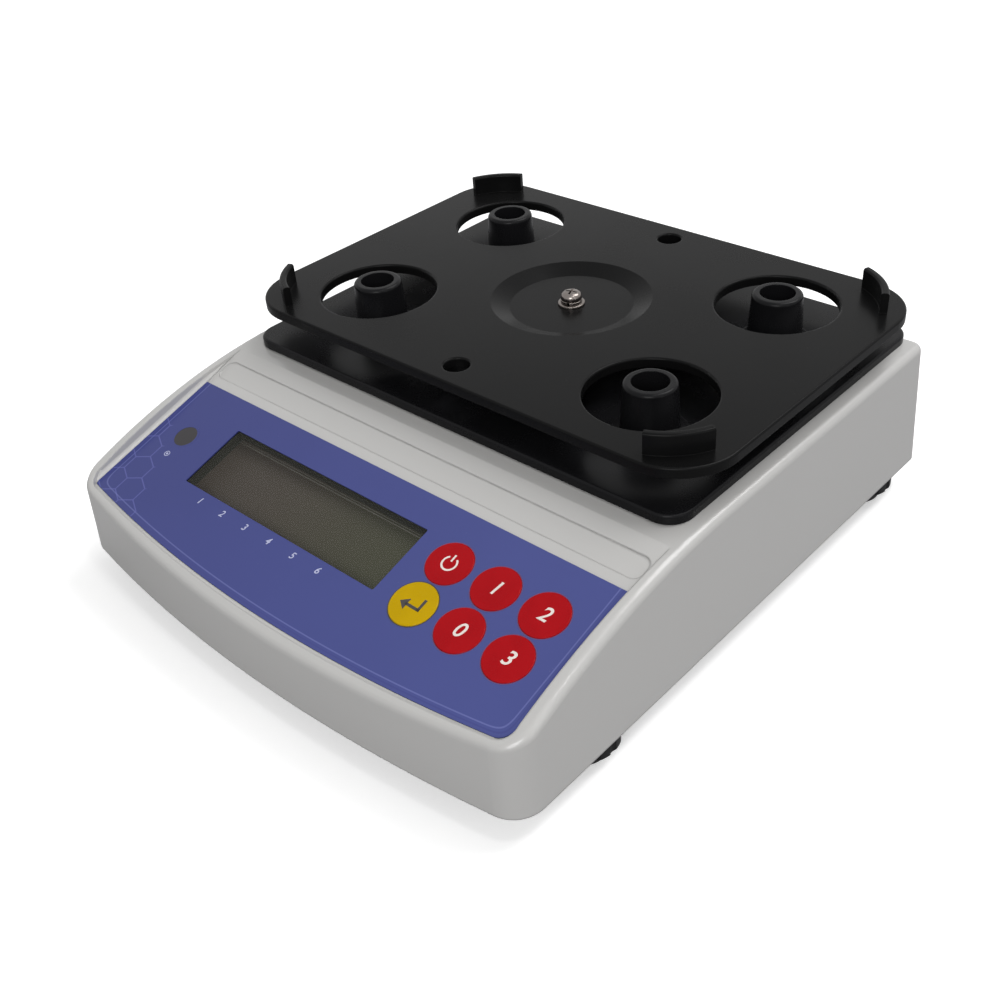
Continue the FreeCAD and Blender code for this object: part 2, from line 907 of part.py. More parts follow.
ribs = new_sketch(cover, "cover_ribs", lift=base_top - s.overrun)
for x_side in (-1, 1):
    draw_path(
        ribs,
        rounded_rectangle(
            x_side * post_side, as_size(0), s.base_rib_width, foot_front * 2, s.base_rib_width / 4
        ),
    )
pad(cover, ribs, s.base_rib_height + s.overrun)

cover_parts = [cover]
cover_holes = []
insert_floor = base_level + s.base_thickness / 2
for name, (x, y) in foot_places.items():
    boss = cylinder(f"foot_boss_{name}", s.foot_boss_radius, s.insert_length + s.base_thickness / 2)
    cover_parts.append(place(boss, x, y, base_level))
    hole = cylinder(f"insert_hole_{name}", s.insert_radius + s.screw_grip, s.insert_length + s.wall)
    cover_holes.append(place(hole, x, y, insert_floor))
    hole = cylinder(f"stud_hole_{name}", s.stud_radius + s.screw_clearance, s.stud_length)
    cover_holes.append(place(hole, x, y, base_level - s.overrun))
for name, (x, y) in case_bosses.items():
    hole = cylinder(f"case_hole_{name}", s.case_screw + s.screw_clearance, s.stud_length)
    cover_holes.append(place(hole, x, y, base_level - s.overrun))

cell_back = plate_centre + s.cell_overhang
cell_front = cell_back - s.cell_length
cell_screw_places = [
    cell_front + s.cell_screw_setback,
    cell_front + s.cell_screw_setback + s.cell_screw_spacing,
]
stop_y = cell_back - s.stop_setback
for index, y in enumerate(cell_screw_places, 1):
    hole = cylinder(f"cell_hole_{index}", s.cell_screw + s.screw_clearance, s.stud_length)
    cover_holes.append(place(hole, 0, y, base_level - s.overrun))
stop_hole = cylinder("stop_hole", s.tray_screw + s.screw_grip, cell_level)
cover_holes.append(place(stop_hole, 0, stop_y, base_level - s.overrun))
stop_boss = cylinder("stop_boss", s.tray_boss_radius, cell_level - base_top - s.tray_boss_radius)
cover_parts.append(place(stop_boss, 0, stop_y, base_top))
node(
    "base_cover",
    cut("base_cover", fuse("cover_solid", cover_parts), group("cover_holes", cover_holes)),
)

case_screws = []
for name, (x, y) in case_bosses.items():
    screw = pan_screw(f"case_screw_{name}", s.case_screw, s.boss_depth - s.overrun)
    case_screws.append(place(screw, x, y, base_level, X_AXIS, 2 * QUARTER_TURN))
node("case_screws", group("case_screws", case_screws))


# Levelling feet: a brass insert in the cover, a fluted wheel on a stud, a rubber pad
def make_foot(name, x, y):
    insert = turned(
        f"insert_{name}",
        [
            (s.stud_radius + s.stud_fit, 0),
            (s.insert_radius, 0),
            (s.insert_radius, s.insert_length),
            (s.insert_flange, s.insert_length),
            (s.insert_flange, s.insert_length + s.insert_flange_thickness),
            (s.stud_radius + s.stud_fit, s.insert_length + s.insert_flange_thickness),
        ],
    )
    place(insert, x, y, insert_floor)

    wheel = turned(
        f"foot_wheel_{name}",
        [
            (0, s.pad_height),
            (s.pad_radius, s.pad_height),
            (s.wheel_radius, s.pad_height + s.wheel_cone),
            (s.wheel_radius, s.pad_height + s.wheel_height),
            (s.stud_radius, s.pad_height + s.wheel_height),
            (s.stud_radius, s.pad_height + s.wheel_height + s.stud_length),
            (0, s.pad_height + s.wheel_height + s.stud_length),
        ],
    )
    flute = new_sketch(wheel, f"flute_{name}", lift=s.pad_height - s.overrun)
    draw_circle(flute, s.wheel_radius + s.wheel_flute - s.wheel_flute_depth, 0, s.wheel_flute)
    flute_cut = pocket(wheel, flute, s.wheel_height + 2 * s.overrun, up=True)
    flutes = wheel.newObject("PartDesign::PolarPattern", f"flutes_{name}")
    flutes.Originals = [flute_cut]
    flutes.Occurrences = WHEEL_FLUTES
    flutes.Axis = (next(f for f in wheel.Origin.OriginFeatures if f.Role == "Z_Axis"), [""])
    wheel.Tip = flutes
    place(wheel, x, y, 0)

    rubber = turned(
        f"foot_pad_{name}",
        [
            (0, 0),
            (s.pad_radius - s.pad_edge, 0),
            (s.pad_radius, s.pad_edge),
            (s.pad_radius, s.pad_height),
            (0, s.pad_height),
        ],
    )
    place(rubber, x, y, 0)
    node(f"foot_wheel_{name}", wheel)
    node(f"foot_pad_{name}", rubber)
    return insert


node("foot_inserts", group("foot_inserts", [make_foot(n, x, y) for n, (x, y) in foot_places.items()]))


# Panel film with its openings, and the clear lens under it
film = new_body("panel_film")
film_plan = new_sketch(film, "film_plan")
draw_film(film_plan, as_size(0), s.film_corner_left, s.film_corner_right, as_size(0))
pad(film, film_plan, s.film_thickness)
film_openings = new_sketch(film, "film_openings", lift=s.film_thickness)
draw_path(
    film_openings,
    rounded_rectangle(window_x, window_y, window_width, s.window_height, s.window_corner),
)
draw_circle(film_openings, -level_left, -s.level_down, s.level_window)
for name in KEY_PLACES:
    draw_circle(film_openings, *key_middle(name), s.key_radius + s.key_gap)
pocket(film, film_openings, s.film_thickness + s.overrun)
node("panel_film", place_on_panel(film, 0, 0, 0))

lens = new_body("display_lens")
lens_plan = new_sketch(lens, "lens_plan")
draw_path(
    lens_plan,
    rounded_rectangle(
        as_size(0),
        as_size(0),
        window_width + 2 * s.lens_lap,
        s.window_height + 2 * s.lens_lap,
        s.window_corner,
    ),
)
pad(lens, lens_plan, s.lens_thickness, down=True)
node("display_lens", place_on_panel(lens, window_x, window_y, 0))


# Display stack under the window: spacer frame, glass cell and light guide
def panel_slab(name, width, height, thickness, right, up, top, opening=None, corner=None):
    """A plate parallel to the panel, with its upper face at the given depth."""
    body = new_body(name)
    outline = new_sketch(body, f"{name}_plan")
    corner = corner or s.window_corner
    draw_path(outline, rounded_rectangle(as_size(0), as_size(0), width, height, corner))
    pad(body, outline, thickness, down=True)
    if opening:
        hole = new_sketch(body, f"{name}_opening")
        draw_path(hole, rounded_rectangle(as_size(0), as_size(0), *opening, s.window_corner))
        pocket(body, hole, thickness + s.overrun)
    return place_on_panel(body, right, up, top)


lcd_width = window_width + 2 * s.lcd_border
lcd_height = s.window_height + 2 * s.lcd_border
window_size = (window_width, s.window_height)
frame_top = -s.wall
glass_top = frame_top - s.lcd_spacer
guide_top = glass_top - s.lcd_glass_thickness
node(
    "lcd_frame",
    panel_slab(
        "lcd_frame", lcd_width, lcd_height, s.lcd_spacer, window_x, window_y, frame_top, window_size
    ),
)
node(
    "lcd_glass",
    panel_slab(
        "lcd_glass",
        lcd_width - s.lens_lap,
        lcd_height - s.lens_lap,
        s.lcd_glass_thickness,
        window_x,
        window_y,
        glass_top,
    ),
)
node(
    "lcd_light_guide",
    panel_slab(
        "lcd_light_guide",
        lcd_width,
        lcd_height,
        guide_top + s.board_drop,
        window_x,
        window_y,
        guide_top,
    ),
)

# Main board, its screws, and what is soldered to it
board = panel_slab(
    "main_board",
    board_width,
    s.board_depth,
    s.board_thickness,
    board_x,
    -s.board_down,
    -s.board_drop,
    corner=s.board_corner,
)
board_holes = new_sketch(board, "board_holes")
for x, y in standoff_places:
    draw_circle(board_holes, x - board_x, y + s.board_down, s.small_screw + s.screw_clearance)
pocket(board, board_holes, s.board_thickness + s.overrun)
node("main_board", board)

board_back = -s.board_drop - s.board_thickness
board_screws = []
for index, (x, y) in enumerate(standoff_places, 1):
    screw = pan_screw(f"board_screw_{index}", s.small_screw, s.board_drop - s.wall)
    point = panel_point(x, y, board_back)
    board_screws.append(place(screw, *point, X_AXIS, 2 * QUARTER_TURN + s.panel_slope))
node("board_screws", group("board_screws", board_screws))

chip_level = board_back
parts = [
    panel_slab(
        "processor", s.chip_side, s.chip_side, s.chip_thickness, board_x, -s.board_down, chip_level
    ),
    panel_slab(
        "converter",
        s.chip_side,
        s.chip_side / 2,
        s.chip_thickness,
        board_x - 2 * s.chip_side,
        -s.board_down,
        chip_level,
    ),
    panel_slab(
        "cell_plug",
        s.plug_block_length,
        s.plug_block_depth,
        s.plug_block_height,
        as_size(0),
        board_high,
        chip_level,
    ),
]
node("board_parts", group("board_parts", parts))

switch_top = -s.board_drop + s.switch_body + s.switch_button_rise
switches = []
for name in KEY_PLACES:
    x, y = key_middle(name)
    switch = box(f"switch_body_{name}", s.switch_side, s.switch_side, s.switch_body)
    place_on_panel(switch, x - s.switch_side / 2, y - s.switch_side / 2, -s.board_drop)
    button = cylinder(f"switch_button_{name}", s.switch_button, s.switch_button_rise + s.overrun)
    place_on_panel(button, x, y, switch_top - s.switch_button_rise - s.overrun)
    switches.append(fuse(f"switch_{name}", [switch, button]))
node("key_switches", group("key_switches", switches))


# Keys: a thin disc in the film's plane with a stem that reaches down to its switch
def make_key(name):
    x, y = key_middle(name)
    top = s.film_thickness + s.key_proud
    stem_end = switch_top + s.key_travel + s.key_over_travel
    key = turned(
        name,
        [
            (0, stem_end),
            (s.key_stem_radius, stem_end),
            (s.key_stem_radius, top - s.key_disc),
            (s.key_radius, top - s.key_disc),
            (s.key_radius, top - s.key_edge_round, s.key_edge_round),
            (s.key_radius - s.key_edge_round, top),
            (0, top),
        ],
    )
    node(name, place_on_panel(key, x, y, 0))


for name in KEY_PLACES:
    make_key(name)

# Bubble level: a cup in its seat with the liquid in it
cup = turned(
    "level_cup",
    [
        (0, 0),
        (s.vial_radius, 0),
        (s.vial_radius, s.vial_height),
        (s.vial_radius - s.vial_wall, s.vial_height),
        (s.vial_radius - s.vial_wall, s.vial_wall),
        (0, s.vial_wall),
    ],
)
node("level_cup", place(cup, level_x, level_y, vial_floor))
liquid = turned(
    "level_liquid",
    [
        (0, s.vial_wall),
        (s.vial_radius - s.vial_wall - s.screw_grip, s.vial_wall),
        (s.vial_radius - s.vial_wall - s.screw_grip, s.vial_height - s.bubble_space),
        (0, s.vial_height - s.bubble_space),
    ],
)
node("level_liquid", place(liquid, level_x, level_y, vial_floor))


# Connectors in the bay
socket = turned(
    "power_socket",
    [
        (0, -s.bay_wall - s.socket_depth),
        (s.socket_radius - s.screw_grip, -s.bay_wall - s.socket_depth),
        (s.socket_radius - s.screw_grip, 0),
        (s.socket_radius + s.socket_rim, 0),
        (s.socket_radius + s.socket_rim, s.socket_rim),
        (s.socket_bore, s.socket_rim),
        (s.socket_bore, s.socket_rim - s.socket_depth),
        (s.socket_pin, s.socket_rim - s.socket_depth),
        (s.socket_pin, 0),
        (0, 0),
    ],
)
place(socket, socket_x, bay_front, connector_level, X_AXIS, -QUARTER_TURN)
node("power_socket", socket)

serial = new_body("serial_port")
serial_flange = new_sketch(serial, "serial_flange", "XZ_Plane")
draw_path(
    serial_flange,
    rounded_rectangle(
        as_size(0), as_size(0), s.serial_flange_width, s.serial_flange_height, s.serial_flange_thickness
    ),
)
pad(serial, serial_flange, s.serial_flange_thickness, down=True)
shell_side = s.serial_shell_width / 2
shell_half = s.serial_shell_height / 2
serial_shell = new_sketch(serial, "serial_shell", "XZ_Plane")
draw_path(
    serial_shell,
    [
        (-shell_side, shell_half),
        (-shell_side + s.serial_shell_slant, -shell_half),
        (shell_side - s.serial_shell_slant, -shell_half),
        (shell_side, shell_half),
    ],
)
pad(serial, serial_shell, s.serial_shell_depth, down=True)
soften(
    serial,
    s.serial_shell_slant,
    lambda e: abs(e.Vertexes[0].Y - e.Vertexes[-1].Y) > s.serial_shell_depth.value / 2
    and abs(e.CenterOfMass.x) < (shell_side + s.seat_gap).value,
)
serial_body = new_sketch(serial, "serial_body", "XZ_Plane")
draw_path(
    serial_body,
    rounded_rectangle(
        as_size(0),
        as_size(0),
        s.serial_body_width - 2 * s.screw_grip,
        s.serial_body_height - 2 * s.screw_grip,
        s.serial_flange_thickness,
    ),
)
pad(serial, serial_body, s.serial_body_depth)
node("serial_port", place(serial, serial_x, bay_front, connector_level))

serial_screws = []
for name, side in (("left", -1), ("right", 1)):
    screw = doc.addObject("Part::Prism", f"serial_screw_{name}")
    screw.Polygon = 6
    bind(screw, "Circumradius", s.serial_screw_radius)
    bind(screw, "Height", s.serial_screw_height)
    x = serial_x + side * s.serial_screw_spacing / 2
    y = bay_front + s.serial_flange_thickness
    serial_screws.append(place(screw, x, y, connector_level, X_AXIS, -QUARTER_TURN))
node("serial_screws", group("serial_screws", serial_screws))


# Load cell: a bar with a double bore that leaves two thin webs above and two below
cell = new_body("load_cell")
cell_plan = new_sketch(cell, "cell_plan")
draw_path(
    cell_plan,
    rounded_rectangle(as_size(0), as_size(0), s.cell_width, s.cell_length, s.cell_corner),
)
pad(cell, cell_plan, s.cell_height)
bores = new_sketch(cell, "cell_bores", "YZ_Plane")
cell_middle = s.cell_height / 2
for side in (-1, 1):
    draw_circle(bores, side * s.cell_bore_spacing / 2, cell_middle, s.cell_bore)
pocket(cell, bores, s.cell_width + s.overrun, both=True)
slit = new_sketch(cell, "cell_slit", "YZ_Plane")
draw_path(
    slit,
    [
        (-s.cell_bore_spacing / 2, cell_middle - s.cell_slit / 2),
        (s.cell_bore_spacing / 2, cell_middle - s.cell_slit / 2),
        (s.cell_bore_spacing / 2, cell_middle + s.cell_slit / 2),
        (-s.cell_bore_spacing / 2, cell_middle + s.cell_slit / 2),
    ],
)
pocket(cell, slit, s.cell_width + s.overrun, both=True)
cell_y = (cell_back + cell_front) / 2
cell_holes = new_sketch(cell, "cell_holes")
for y in cell_screw_places:
    draw_circle(cell_holes, 0, y - cell_y, s.cell_screw + s.screw_grip)
draw_circle(cell_holes, 0, plate_centre - cell_y, s.tray_screw + s.screw_clearance)
pocket(cell, cell_holes, s.cell_height + s.overrun, up=True)
node("load_cell", place(cell, 0, cell_y, cell_level))

spacer = new_body("cell_spacer")
spacer_plan = new_sketch(spacer, "spacer_plan")
draw_path(
    spacer_plan,
    rounded_rectangle(
        as_size(0), as_size(0), s.spacer_width, s.spacer_length, s.spacer_corner
    ),
)
pad(spacer, spacer_plan, cell_level - base_top)
spacer_y = cell_front + s.spacer_length / 2
spacer_holes = new_sketch(spacer, "spacer_holes")
for y in cell_screw_places:
    draw_circle(spacer_holes, 0, y - spacer_y, s.cell_screw + s.screw_clearance)
pocket(spacer, spacer_holes, cell_level, up=True)
node("cell_spacer", place(spacer, 0, spacer_y, base_top))

cell_screws = []
for index, y in enumerate(cell_screw_places, 1):
    screw = pan_screw(f"cell_screw_{index}", s.cell_screw, cell_top - base_level - s.cell_screw)
    cell_screws.append(place(screw, 0, y, base_level, X_AXIS, 2 * QUARTER_TURN))
node("cell_screws", group("cell_screws", cell_screws))

stop_height = cell_level - s.stop_gap - base_level
stop_screw = cylinder("overload_stop", s.tray_screw, stop_height)
node("overload_stop", place(stop_screw, 0, stop_y, base_level))

# Hub on the free end of the cell, its screw from below, and the plate's own screw and washers
hub_height = hub_top - cell_top
screw_bore = s.tray_screw + s.screw_grip
hub = turned(
    "plate_hub",
    [
        (0, s.hub_screw_depth),
        (screw_bore, s.hub_screw_depth),
        (screw_bore, 0),
        (s.hub_radius, 0),
        (s.hub_radius, hub_height - s.hub_flange_thickness),
        (s.hub_flange - s.hub_flange_round, hub_height - s.hub_flange_thickness),
        (s.hub_flange, hub_height - s.hub_flange_thickness + s.hub_flange_round),
        (s.hub_flange, hub_height),
        (screw_bore, hub_height),
        (screw_bore, hub_height - s.plate_screw_length),
        (0, hub_height - s.plate_screw_length),
    ],
)
node("plate_hub", place(hub, 0, plate_centre, cell_top))

hub_screw = pan_screw("hub_screw", s.tray_screw, s.cell_height + s.hub_screw_depth - s.overrun)
node("hub_screw", place(hub_screw, 0, plate_centre, cell_level, X_AXIS, 2 * QUARTER_TURN))

washer = turned(
    "flat_washer",
    [
        (screw_bore, 0),
        (s.washer_radius, 0),
        (s.washer_radius, s.washer_thickness),
        (screw_bore, s.washer_thickness),
    ],
)
node("flat_washer", place(washer, 0, plate_centre, dish_floor_level))
spring_washer_level = dish_floor_level + s.washer_thickness
spring_washer = turned(
    "spring_washer",
    [
        (screw_bore, 0),
        (s.spring_washer_radius, 0),
        (s.spring_washer_radius, s.spring_washer_thickness),
        (screw_bore, s.spring_washer_thickness),
    ],
    angle=4 * QUARTER_TURN - s.spring_washer_gap_angle,
)
node("spring_washer", place(spring_washer, 0, plate_centre, spring_washer_level))
head_level = spring_washer_level + s.spring_washer_thickness
plate_screw = turned(
    "plate_screw",
    [
        (0, hub_top - head_level - s.plate_screw_length + s.overrun),
        (s.tray_screw, hub_top - head_level - s.plate_screw_length + s.overrun),
        (s.tray_screw, 0),
        (s.plate_screw_head, 0),
        (s.plate_screw_head, s.plate_screw_head_height / 2),
        (s.plate_screw_head * s.head_crown_share, s.plate_screw_head_height),
        (0, s.plate_screw_head_height),
    ],
)
node("plate_screw", place(plate_screw, 0, plate_centre, head_level))


# Lower tray with a raised seat for each post
tray = new_body("support_tray")
tray_plan = new_sketch(tray, "tray_plan")
draw_path(
    tray_plan,
    rounded_rectangle(as_size(0), as_size(0), tray_width, tray_depth, s.tray_corner),
)
pad(tray, tray_plan, s.tray_thickness)
soften(tray, s.tray_round, lambda e: e.CenterOfMass.z > (s.tray_thickness - s.seat_gap).value)
seats = new_sketch(tray, "tray_seats", lift=s.tray_thickness / 2)
for x_sign, y_sign in CORNERS.values():
    draw_circle(seats, x_sign * post_side, y_sign * post_reach, s.tray_seat)
pad(tray, seats, s.tray_thickness / 2 + s.tray_seat_rise)
tray_holes = new_sketch(tray, "tray_holes")
draw_circle(tray_holes, 0, 0, s.hub_hole)
for x_sign, y_sign in CORNERS.values():
    draw_circle(
        tray_holes, x_sign * post_side, y_sign * post_reach, s.tray_screw + s.screw_clearance
    )
pocket(tray, tray_holes, s.tray_thickness + s.tray_seat_rise + s.overrun, up=True)
node("support_tray", place(tray, 0, plate_centre, deck))

post_level = tray_top + s.tray_seat_rise
post_height = post_top - post_level
screw_head = s.tray_screw * s.head_radius_share + s.screw_clearance
head_room = s.tray_screw * s.head_height_share + s.screw_clearance
tray_screws = []
for name, (x, y) in post_places.items():
    post = turned(
        f"post_{name}",
        [
            (s.tray_screw + s.screw_clearance, 0),
            (s.post_foot_radius, 0),
            (s.post_top_radius, post_height - s.post_round, s.post_round),
            (s.post_top_radius - s.post_round, post_height),
            (s.post_bore, post_height),
            (s.post_bore, s.post_floor),
            (screw_head, s.post_floor),
            (screw_head, s.post_floor - head_room),
            (s.tray_screw + s.screw_clearance, s.post_floor - head_room),
        ],
    )
    node(f"post_{name}", place(post, x, y, post_level))
    screw = pan_screw(f"tray_screw_{name}", s.tray_screw, s.tray_screw_length)
    tray_screws.append(place(screw, x, y, post_level + s.post_floor - head_room))
node("tray_screws", group("tray_screws", tray_screws))


# Weighing plate: holes clear of the posts, a dished middle, and a curved tab at each corner
plate = new_body("weighing_plate")
plate_plan = new_sketch(plate, "plate_plan", lift=-s.plate_thickness)
draw_path(
    plate_plan,
    rounded_rectangle(as_size(0), as_size(0), plate_width, s.plate_depth, s.plate_corner),
)
pad(plate, plate_plan, s.plate_thickness)
plate_holes = new_sketch(plate, "plate_holes")
for x_sign, y_sign in CORNERS.values():
    draw_circle(plate_holes, x_sign * post_side, y_sign * post_reach, s.plate_hole)
for side in (-1, 1):
    draw_circle(plate_holes, 0, side * (s.plate_depth / 2 - s.pin_hole_inset), s.pin_hole)
pocket(plate, plate_holes, s.plate_thickness + s.overrun)
soften(
    plate,
    s.plate_round,
    lambda e: abs(e.Vertexes[0].Z) < s.screw_grip.value and abs(e.Vertexes[-1].Z) < s.screw_grip.value,
)

dish_under = -s.plate_thickness - s.dish_depth
dish_outside = new_sketch(plate, "dish_outside", "XZ_Plane")
draw_path(
    dish_outside,
    [
        (0, -s.plate_thickness / 2),
        (0, dish_under),
        (s.dish_floor, dish_under),
        (s.dish_radius, -s.plate_thickness),
        (s.dish_radius, -s.plate_thickness / 2),
    ],
)
revolve(plate, dish_outside)
dish_inside = new_sketch(plate, "dish_inside", "XZ_Plane")
draw_path(
    dish_inside,
    [
        (0, s.overrun),
        (0, -s.dish_depth),
        (s.dish_floor, -s.dish_depth),
        (s.dish_radius, 0),
        (s.dish_radius, s.overrun),
    ],
)
revolve(plate, dish_inside, cut=True)
middle_hole = new_sketch(plate, "middle_hole")
draw_circle(middle_hole, 0, 0, s.tray_screw + s.screw_clearance)
pocket(plate, middle_hole, s.plate_thickness + s.dish_depth + s.overrun)


# Each tab is a strip turned about a centre near its corner, with a rounded top
tab_side = plate_width / 2 - s.tab_inset_side
tab_reach = s.plate_depth / 2 - s.tab_inset_end
tab_inner = s.tab_radius - s.tab_thickness / 2
tab_outer = s.tab_radius + s.tab_thickness / 2
plate_parts = [plate]
for name, (x_sign, y_sign) in CORNERS.items():
    tab = turned(
        f"tab_{name}",
        [
            (tab_inner, -s.plate_thickness / 2),
            (tab_outer, -s.plate_thickness / 2),
            (tab_outer, s.tab_height - s.tab_round, s.tab_round),
            (tab_outer - s.tab_round, s.tab_height),
            (tab_inner + s.tab_round, s.tab_height, s.tab_round),
            (tab_inner, s.tab_height - s.tab_round),
        ],
        angle=2 * s.tab_half_angle,
    )
    middle_angle = QUARTER_TURN * (1 - x_sign) + x_sign * y_sign * s.tab_middle_angle
    place(tab, x_sign * tab_side, y_sign * tab_reach, 0, Z_AXIS, middle_angle - s.tab_half_angle)
    plate_parts.append(tab)
whole_plate = fuse("weighing_plate", plate_parts)
node("weighing_plate", place(whole_plate, 0, plate_centre, plate_height))


# Check every object, then write each sub-part
doc.recompute()
for thing in doc.Objects:
    faults = [word for word in thing.State if word in ("Invalid", "Error")]
    assert not faults, f"{thing.Label} is {faults}"
os.makedirs("parts", exist_ok=True)
for name, thing in nodes.items():
    shape = thing.Shape
    assert not shape.isNull() and shape.isValid(), f"{name} has no valid shape"
    assert shape.Solids, f"{name} has no solid"
for name, thing in nodes.items():
    thing.Shape.exportStep(f"parts/{name}.step")
print(len(nodes), "sub-parts written")
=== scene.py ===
# %% [markdown]
# This lesson dresses a benchtop density meter: a balance with a sloped key panel, a black tray
# with four hollow posts and a weighing plate above it. The frame holds its solids at real size,
# in metres, with +Z up and the operator at -Y. What is left to make here is what the eye reads:
# the finish of every surface, the printed marks, and the small turned and pressed pieces.

# %% Load the frame
import json
import math

import bmesh
import bpy
from mathutils import Matrix, Vector


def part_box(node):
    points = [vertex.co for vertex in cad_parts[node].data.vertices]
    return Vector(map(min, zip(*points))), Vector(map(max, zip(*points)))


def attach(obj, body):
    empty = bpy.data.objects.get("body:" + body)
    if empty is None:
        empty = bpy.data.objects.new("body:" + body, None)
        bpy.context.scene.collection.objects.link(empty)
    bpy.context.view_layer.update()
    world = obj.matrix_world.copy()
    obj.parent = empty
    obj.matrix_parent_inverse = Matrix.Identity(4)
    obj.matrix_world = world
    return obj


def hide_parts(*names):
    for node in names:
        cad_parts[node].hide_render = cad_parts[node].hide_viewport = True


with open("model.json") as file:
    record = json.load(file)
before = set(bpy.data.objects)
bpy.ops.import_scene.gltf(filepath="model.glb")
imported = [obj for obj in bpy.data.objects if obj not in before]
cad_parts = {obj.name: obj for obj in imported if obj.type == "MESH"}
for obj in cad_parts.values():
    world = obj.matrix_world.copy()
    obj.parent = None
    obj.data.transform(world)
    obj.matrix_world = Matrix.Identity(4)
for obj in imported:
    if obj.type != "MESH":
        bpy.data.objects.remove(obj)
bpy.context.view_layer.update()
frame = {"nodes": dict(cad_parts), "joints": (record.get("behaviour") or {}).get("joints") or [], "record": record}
nodes = frame["nodes"]
MM = 0.001
WELD = 0.002 * MM  # points nearer than this are one point

# %% [markdown]
# Everything on the sloped panel is easier to place in the panel's own directions: to the right,
# up the slope and out of it. A key travels straight into the panel, so its joint gives the
# panel's normal, and the back edge of the film gives the origin.

# %% Panel directions
key_joint = next(joint for joint in frame["joints"] if joint["child"] == "key_on_off")
panel_normal = -Vector(key_joint["axis"]).normalized()
panel_slope = math.atan2(-panel_normal.y, panel_normal.z)
panel_turn = Matrix.Rotation(panel_slope, 4, "X")
film_low, film_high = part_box("panel_film")
film_sheet = 0.4 * MM
film_top_edge = Vector((0, film_high.y, film_high.z)) - Vector((0, film_sheet * math.sin(panel_slope), 0))
panel_place = Matrix.Translation(film_top_edge) @ panel_turn
print("panel slope", round(math.degrees(panel_slope), 2), "degrees")


def on_panel(right, up, out=0.0):
    """A place on the film, in millimetres to the right, up the slope and out of it."""
    return panel_place @ Matrix.Translation(Vector((right, up, out)) * MM)


# %% [markdown]
# Shader work repeats itself, so a few helpers come first. A node is added with its inputs named
# in the call, and a link is made when a value is another node's output socket.

# %% Node helpers
def feed(tree, socket, value):
    """Set a socket to a value, or link it when the value is another node's output."""
    if isinstance(value, bpy.types.NodeSocket):
        tree.links.new(value, socket)
    else:
        socket.default_value = value


def add_node(tree, kind, label="", **inputs):
    """A shader node whose inputs are given by name: a value is set, and a socket is linked."""
    node = tree.nodes.new(kind)
    node.label = label
    for key, value in inputs.items():
        numbered = key[0] == "i" and key[1:].isdigit()
        feed(tree, node.inputs[int(key[1:]) if numbered else key.replace("_", " ")], value)
    return node


def calculate(tree, operation, first, second=0.0, clamp=False):
    """A Math node, and its result."""
    node = add_node(tree, "ShaderNodeMath", operation.lower(), i0=first, i1=second)
    node.operation = operation
    node.use_clamp = clamp
    return node.outputs[0]


def fade(tree, value, low, high, start=0.0, end=1.0):
    """Map a value smoothly from one range to another."""
    node = tree.nodes.new("ShaderNodeMapRange")
    node.interpolation_type = "SMOOTHSTEP"
    tree.links.new(value, node.inputs["Value"])
    for name, number in (("From Min", low), ("From Max", high), ("To Min", start), ("To Max", end)):
        node.inputs[name].default_value = number
    return node.outputs["Result"]


def blend_colour(tree, share, first, second, mode="MIX"):
    """Mix two colours by a share, which may be a socket."""
    node = tree.nodes.new("ShaderNodeMix")
    node.data_type = "RGBA"
    node.blend_type = mode
    for index, value in ((0, share), (6, first), (7, second)):
        feed(tree, node.inputs[index], value)
    return node.outputs[2]


def new_group(name, inputs, outputs):
    """An empty shader node group with named float, colour and vector sockets."""
    group = bpy.data.node_groups.new(name, "ShaderNodeTree")
    for title, kind, value in inputs:
        socket = group.interface.new_socket(title, in_out="INPUT", socket_type=f"NodeSocket{kind}")
        if value is not None:
            socket.default_value = value
    for title, kind in outputs:
        group.interface.new_socket(title, in_out="OUTPUT", socket_type=f"NodeSocket{kind}")
    return group, group.nodes.new("NodeGroupInput"), group.nodes.new("NodeGroupOutput")


# %% [markdown]
# Moulded, sprayed and powder-coated skins all have a fine grain: a noise whose size is that of
# the pebbles, seen as a bump and as a slight change of gloss. One group serves them all, and
# each material gives it its own pebble size in metres.

# %% Group: grain
grain, inside, outside = new_group(
    "surface_grain",
    [("Vector", "Vector", None), ("Pebble", "Float", 0.0005), ("Softness", "Float", 0.5)],
    [("Height", "Float"), ("Mask", "Float")],
)
scale = calculate(grain, "DIVIDE", 1.0, inside.outputs["Pebble"])
noise = add_node(grain, "ShaderNodeTexNoise", "pebbles", Vector=inside.outputs["Vector"], Scale=scale, Detail=3.0)
grain.links.new(inside.outputs["Softness"], noise.inputs["Roughness"])
grain.links.new(noise.outputs["Fac"], outside.inputs["Height"])
grain.links.new(fade(grain, noise.outputs["Fac"], 0.35, 0.65), outside.inputs["Mask"])

# %% [markdown]
# A used instrument is never evenly clean. Large soft clouds of handling change the gloss, and
# sparse dust specks lighten the colour. The specks are cells of a Voronoi texture that are kept
# only where the cell is small and a second noise allows it.

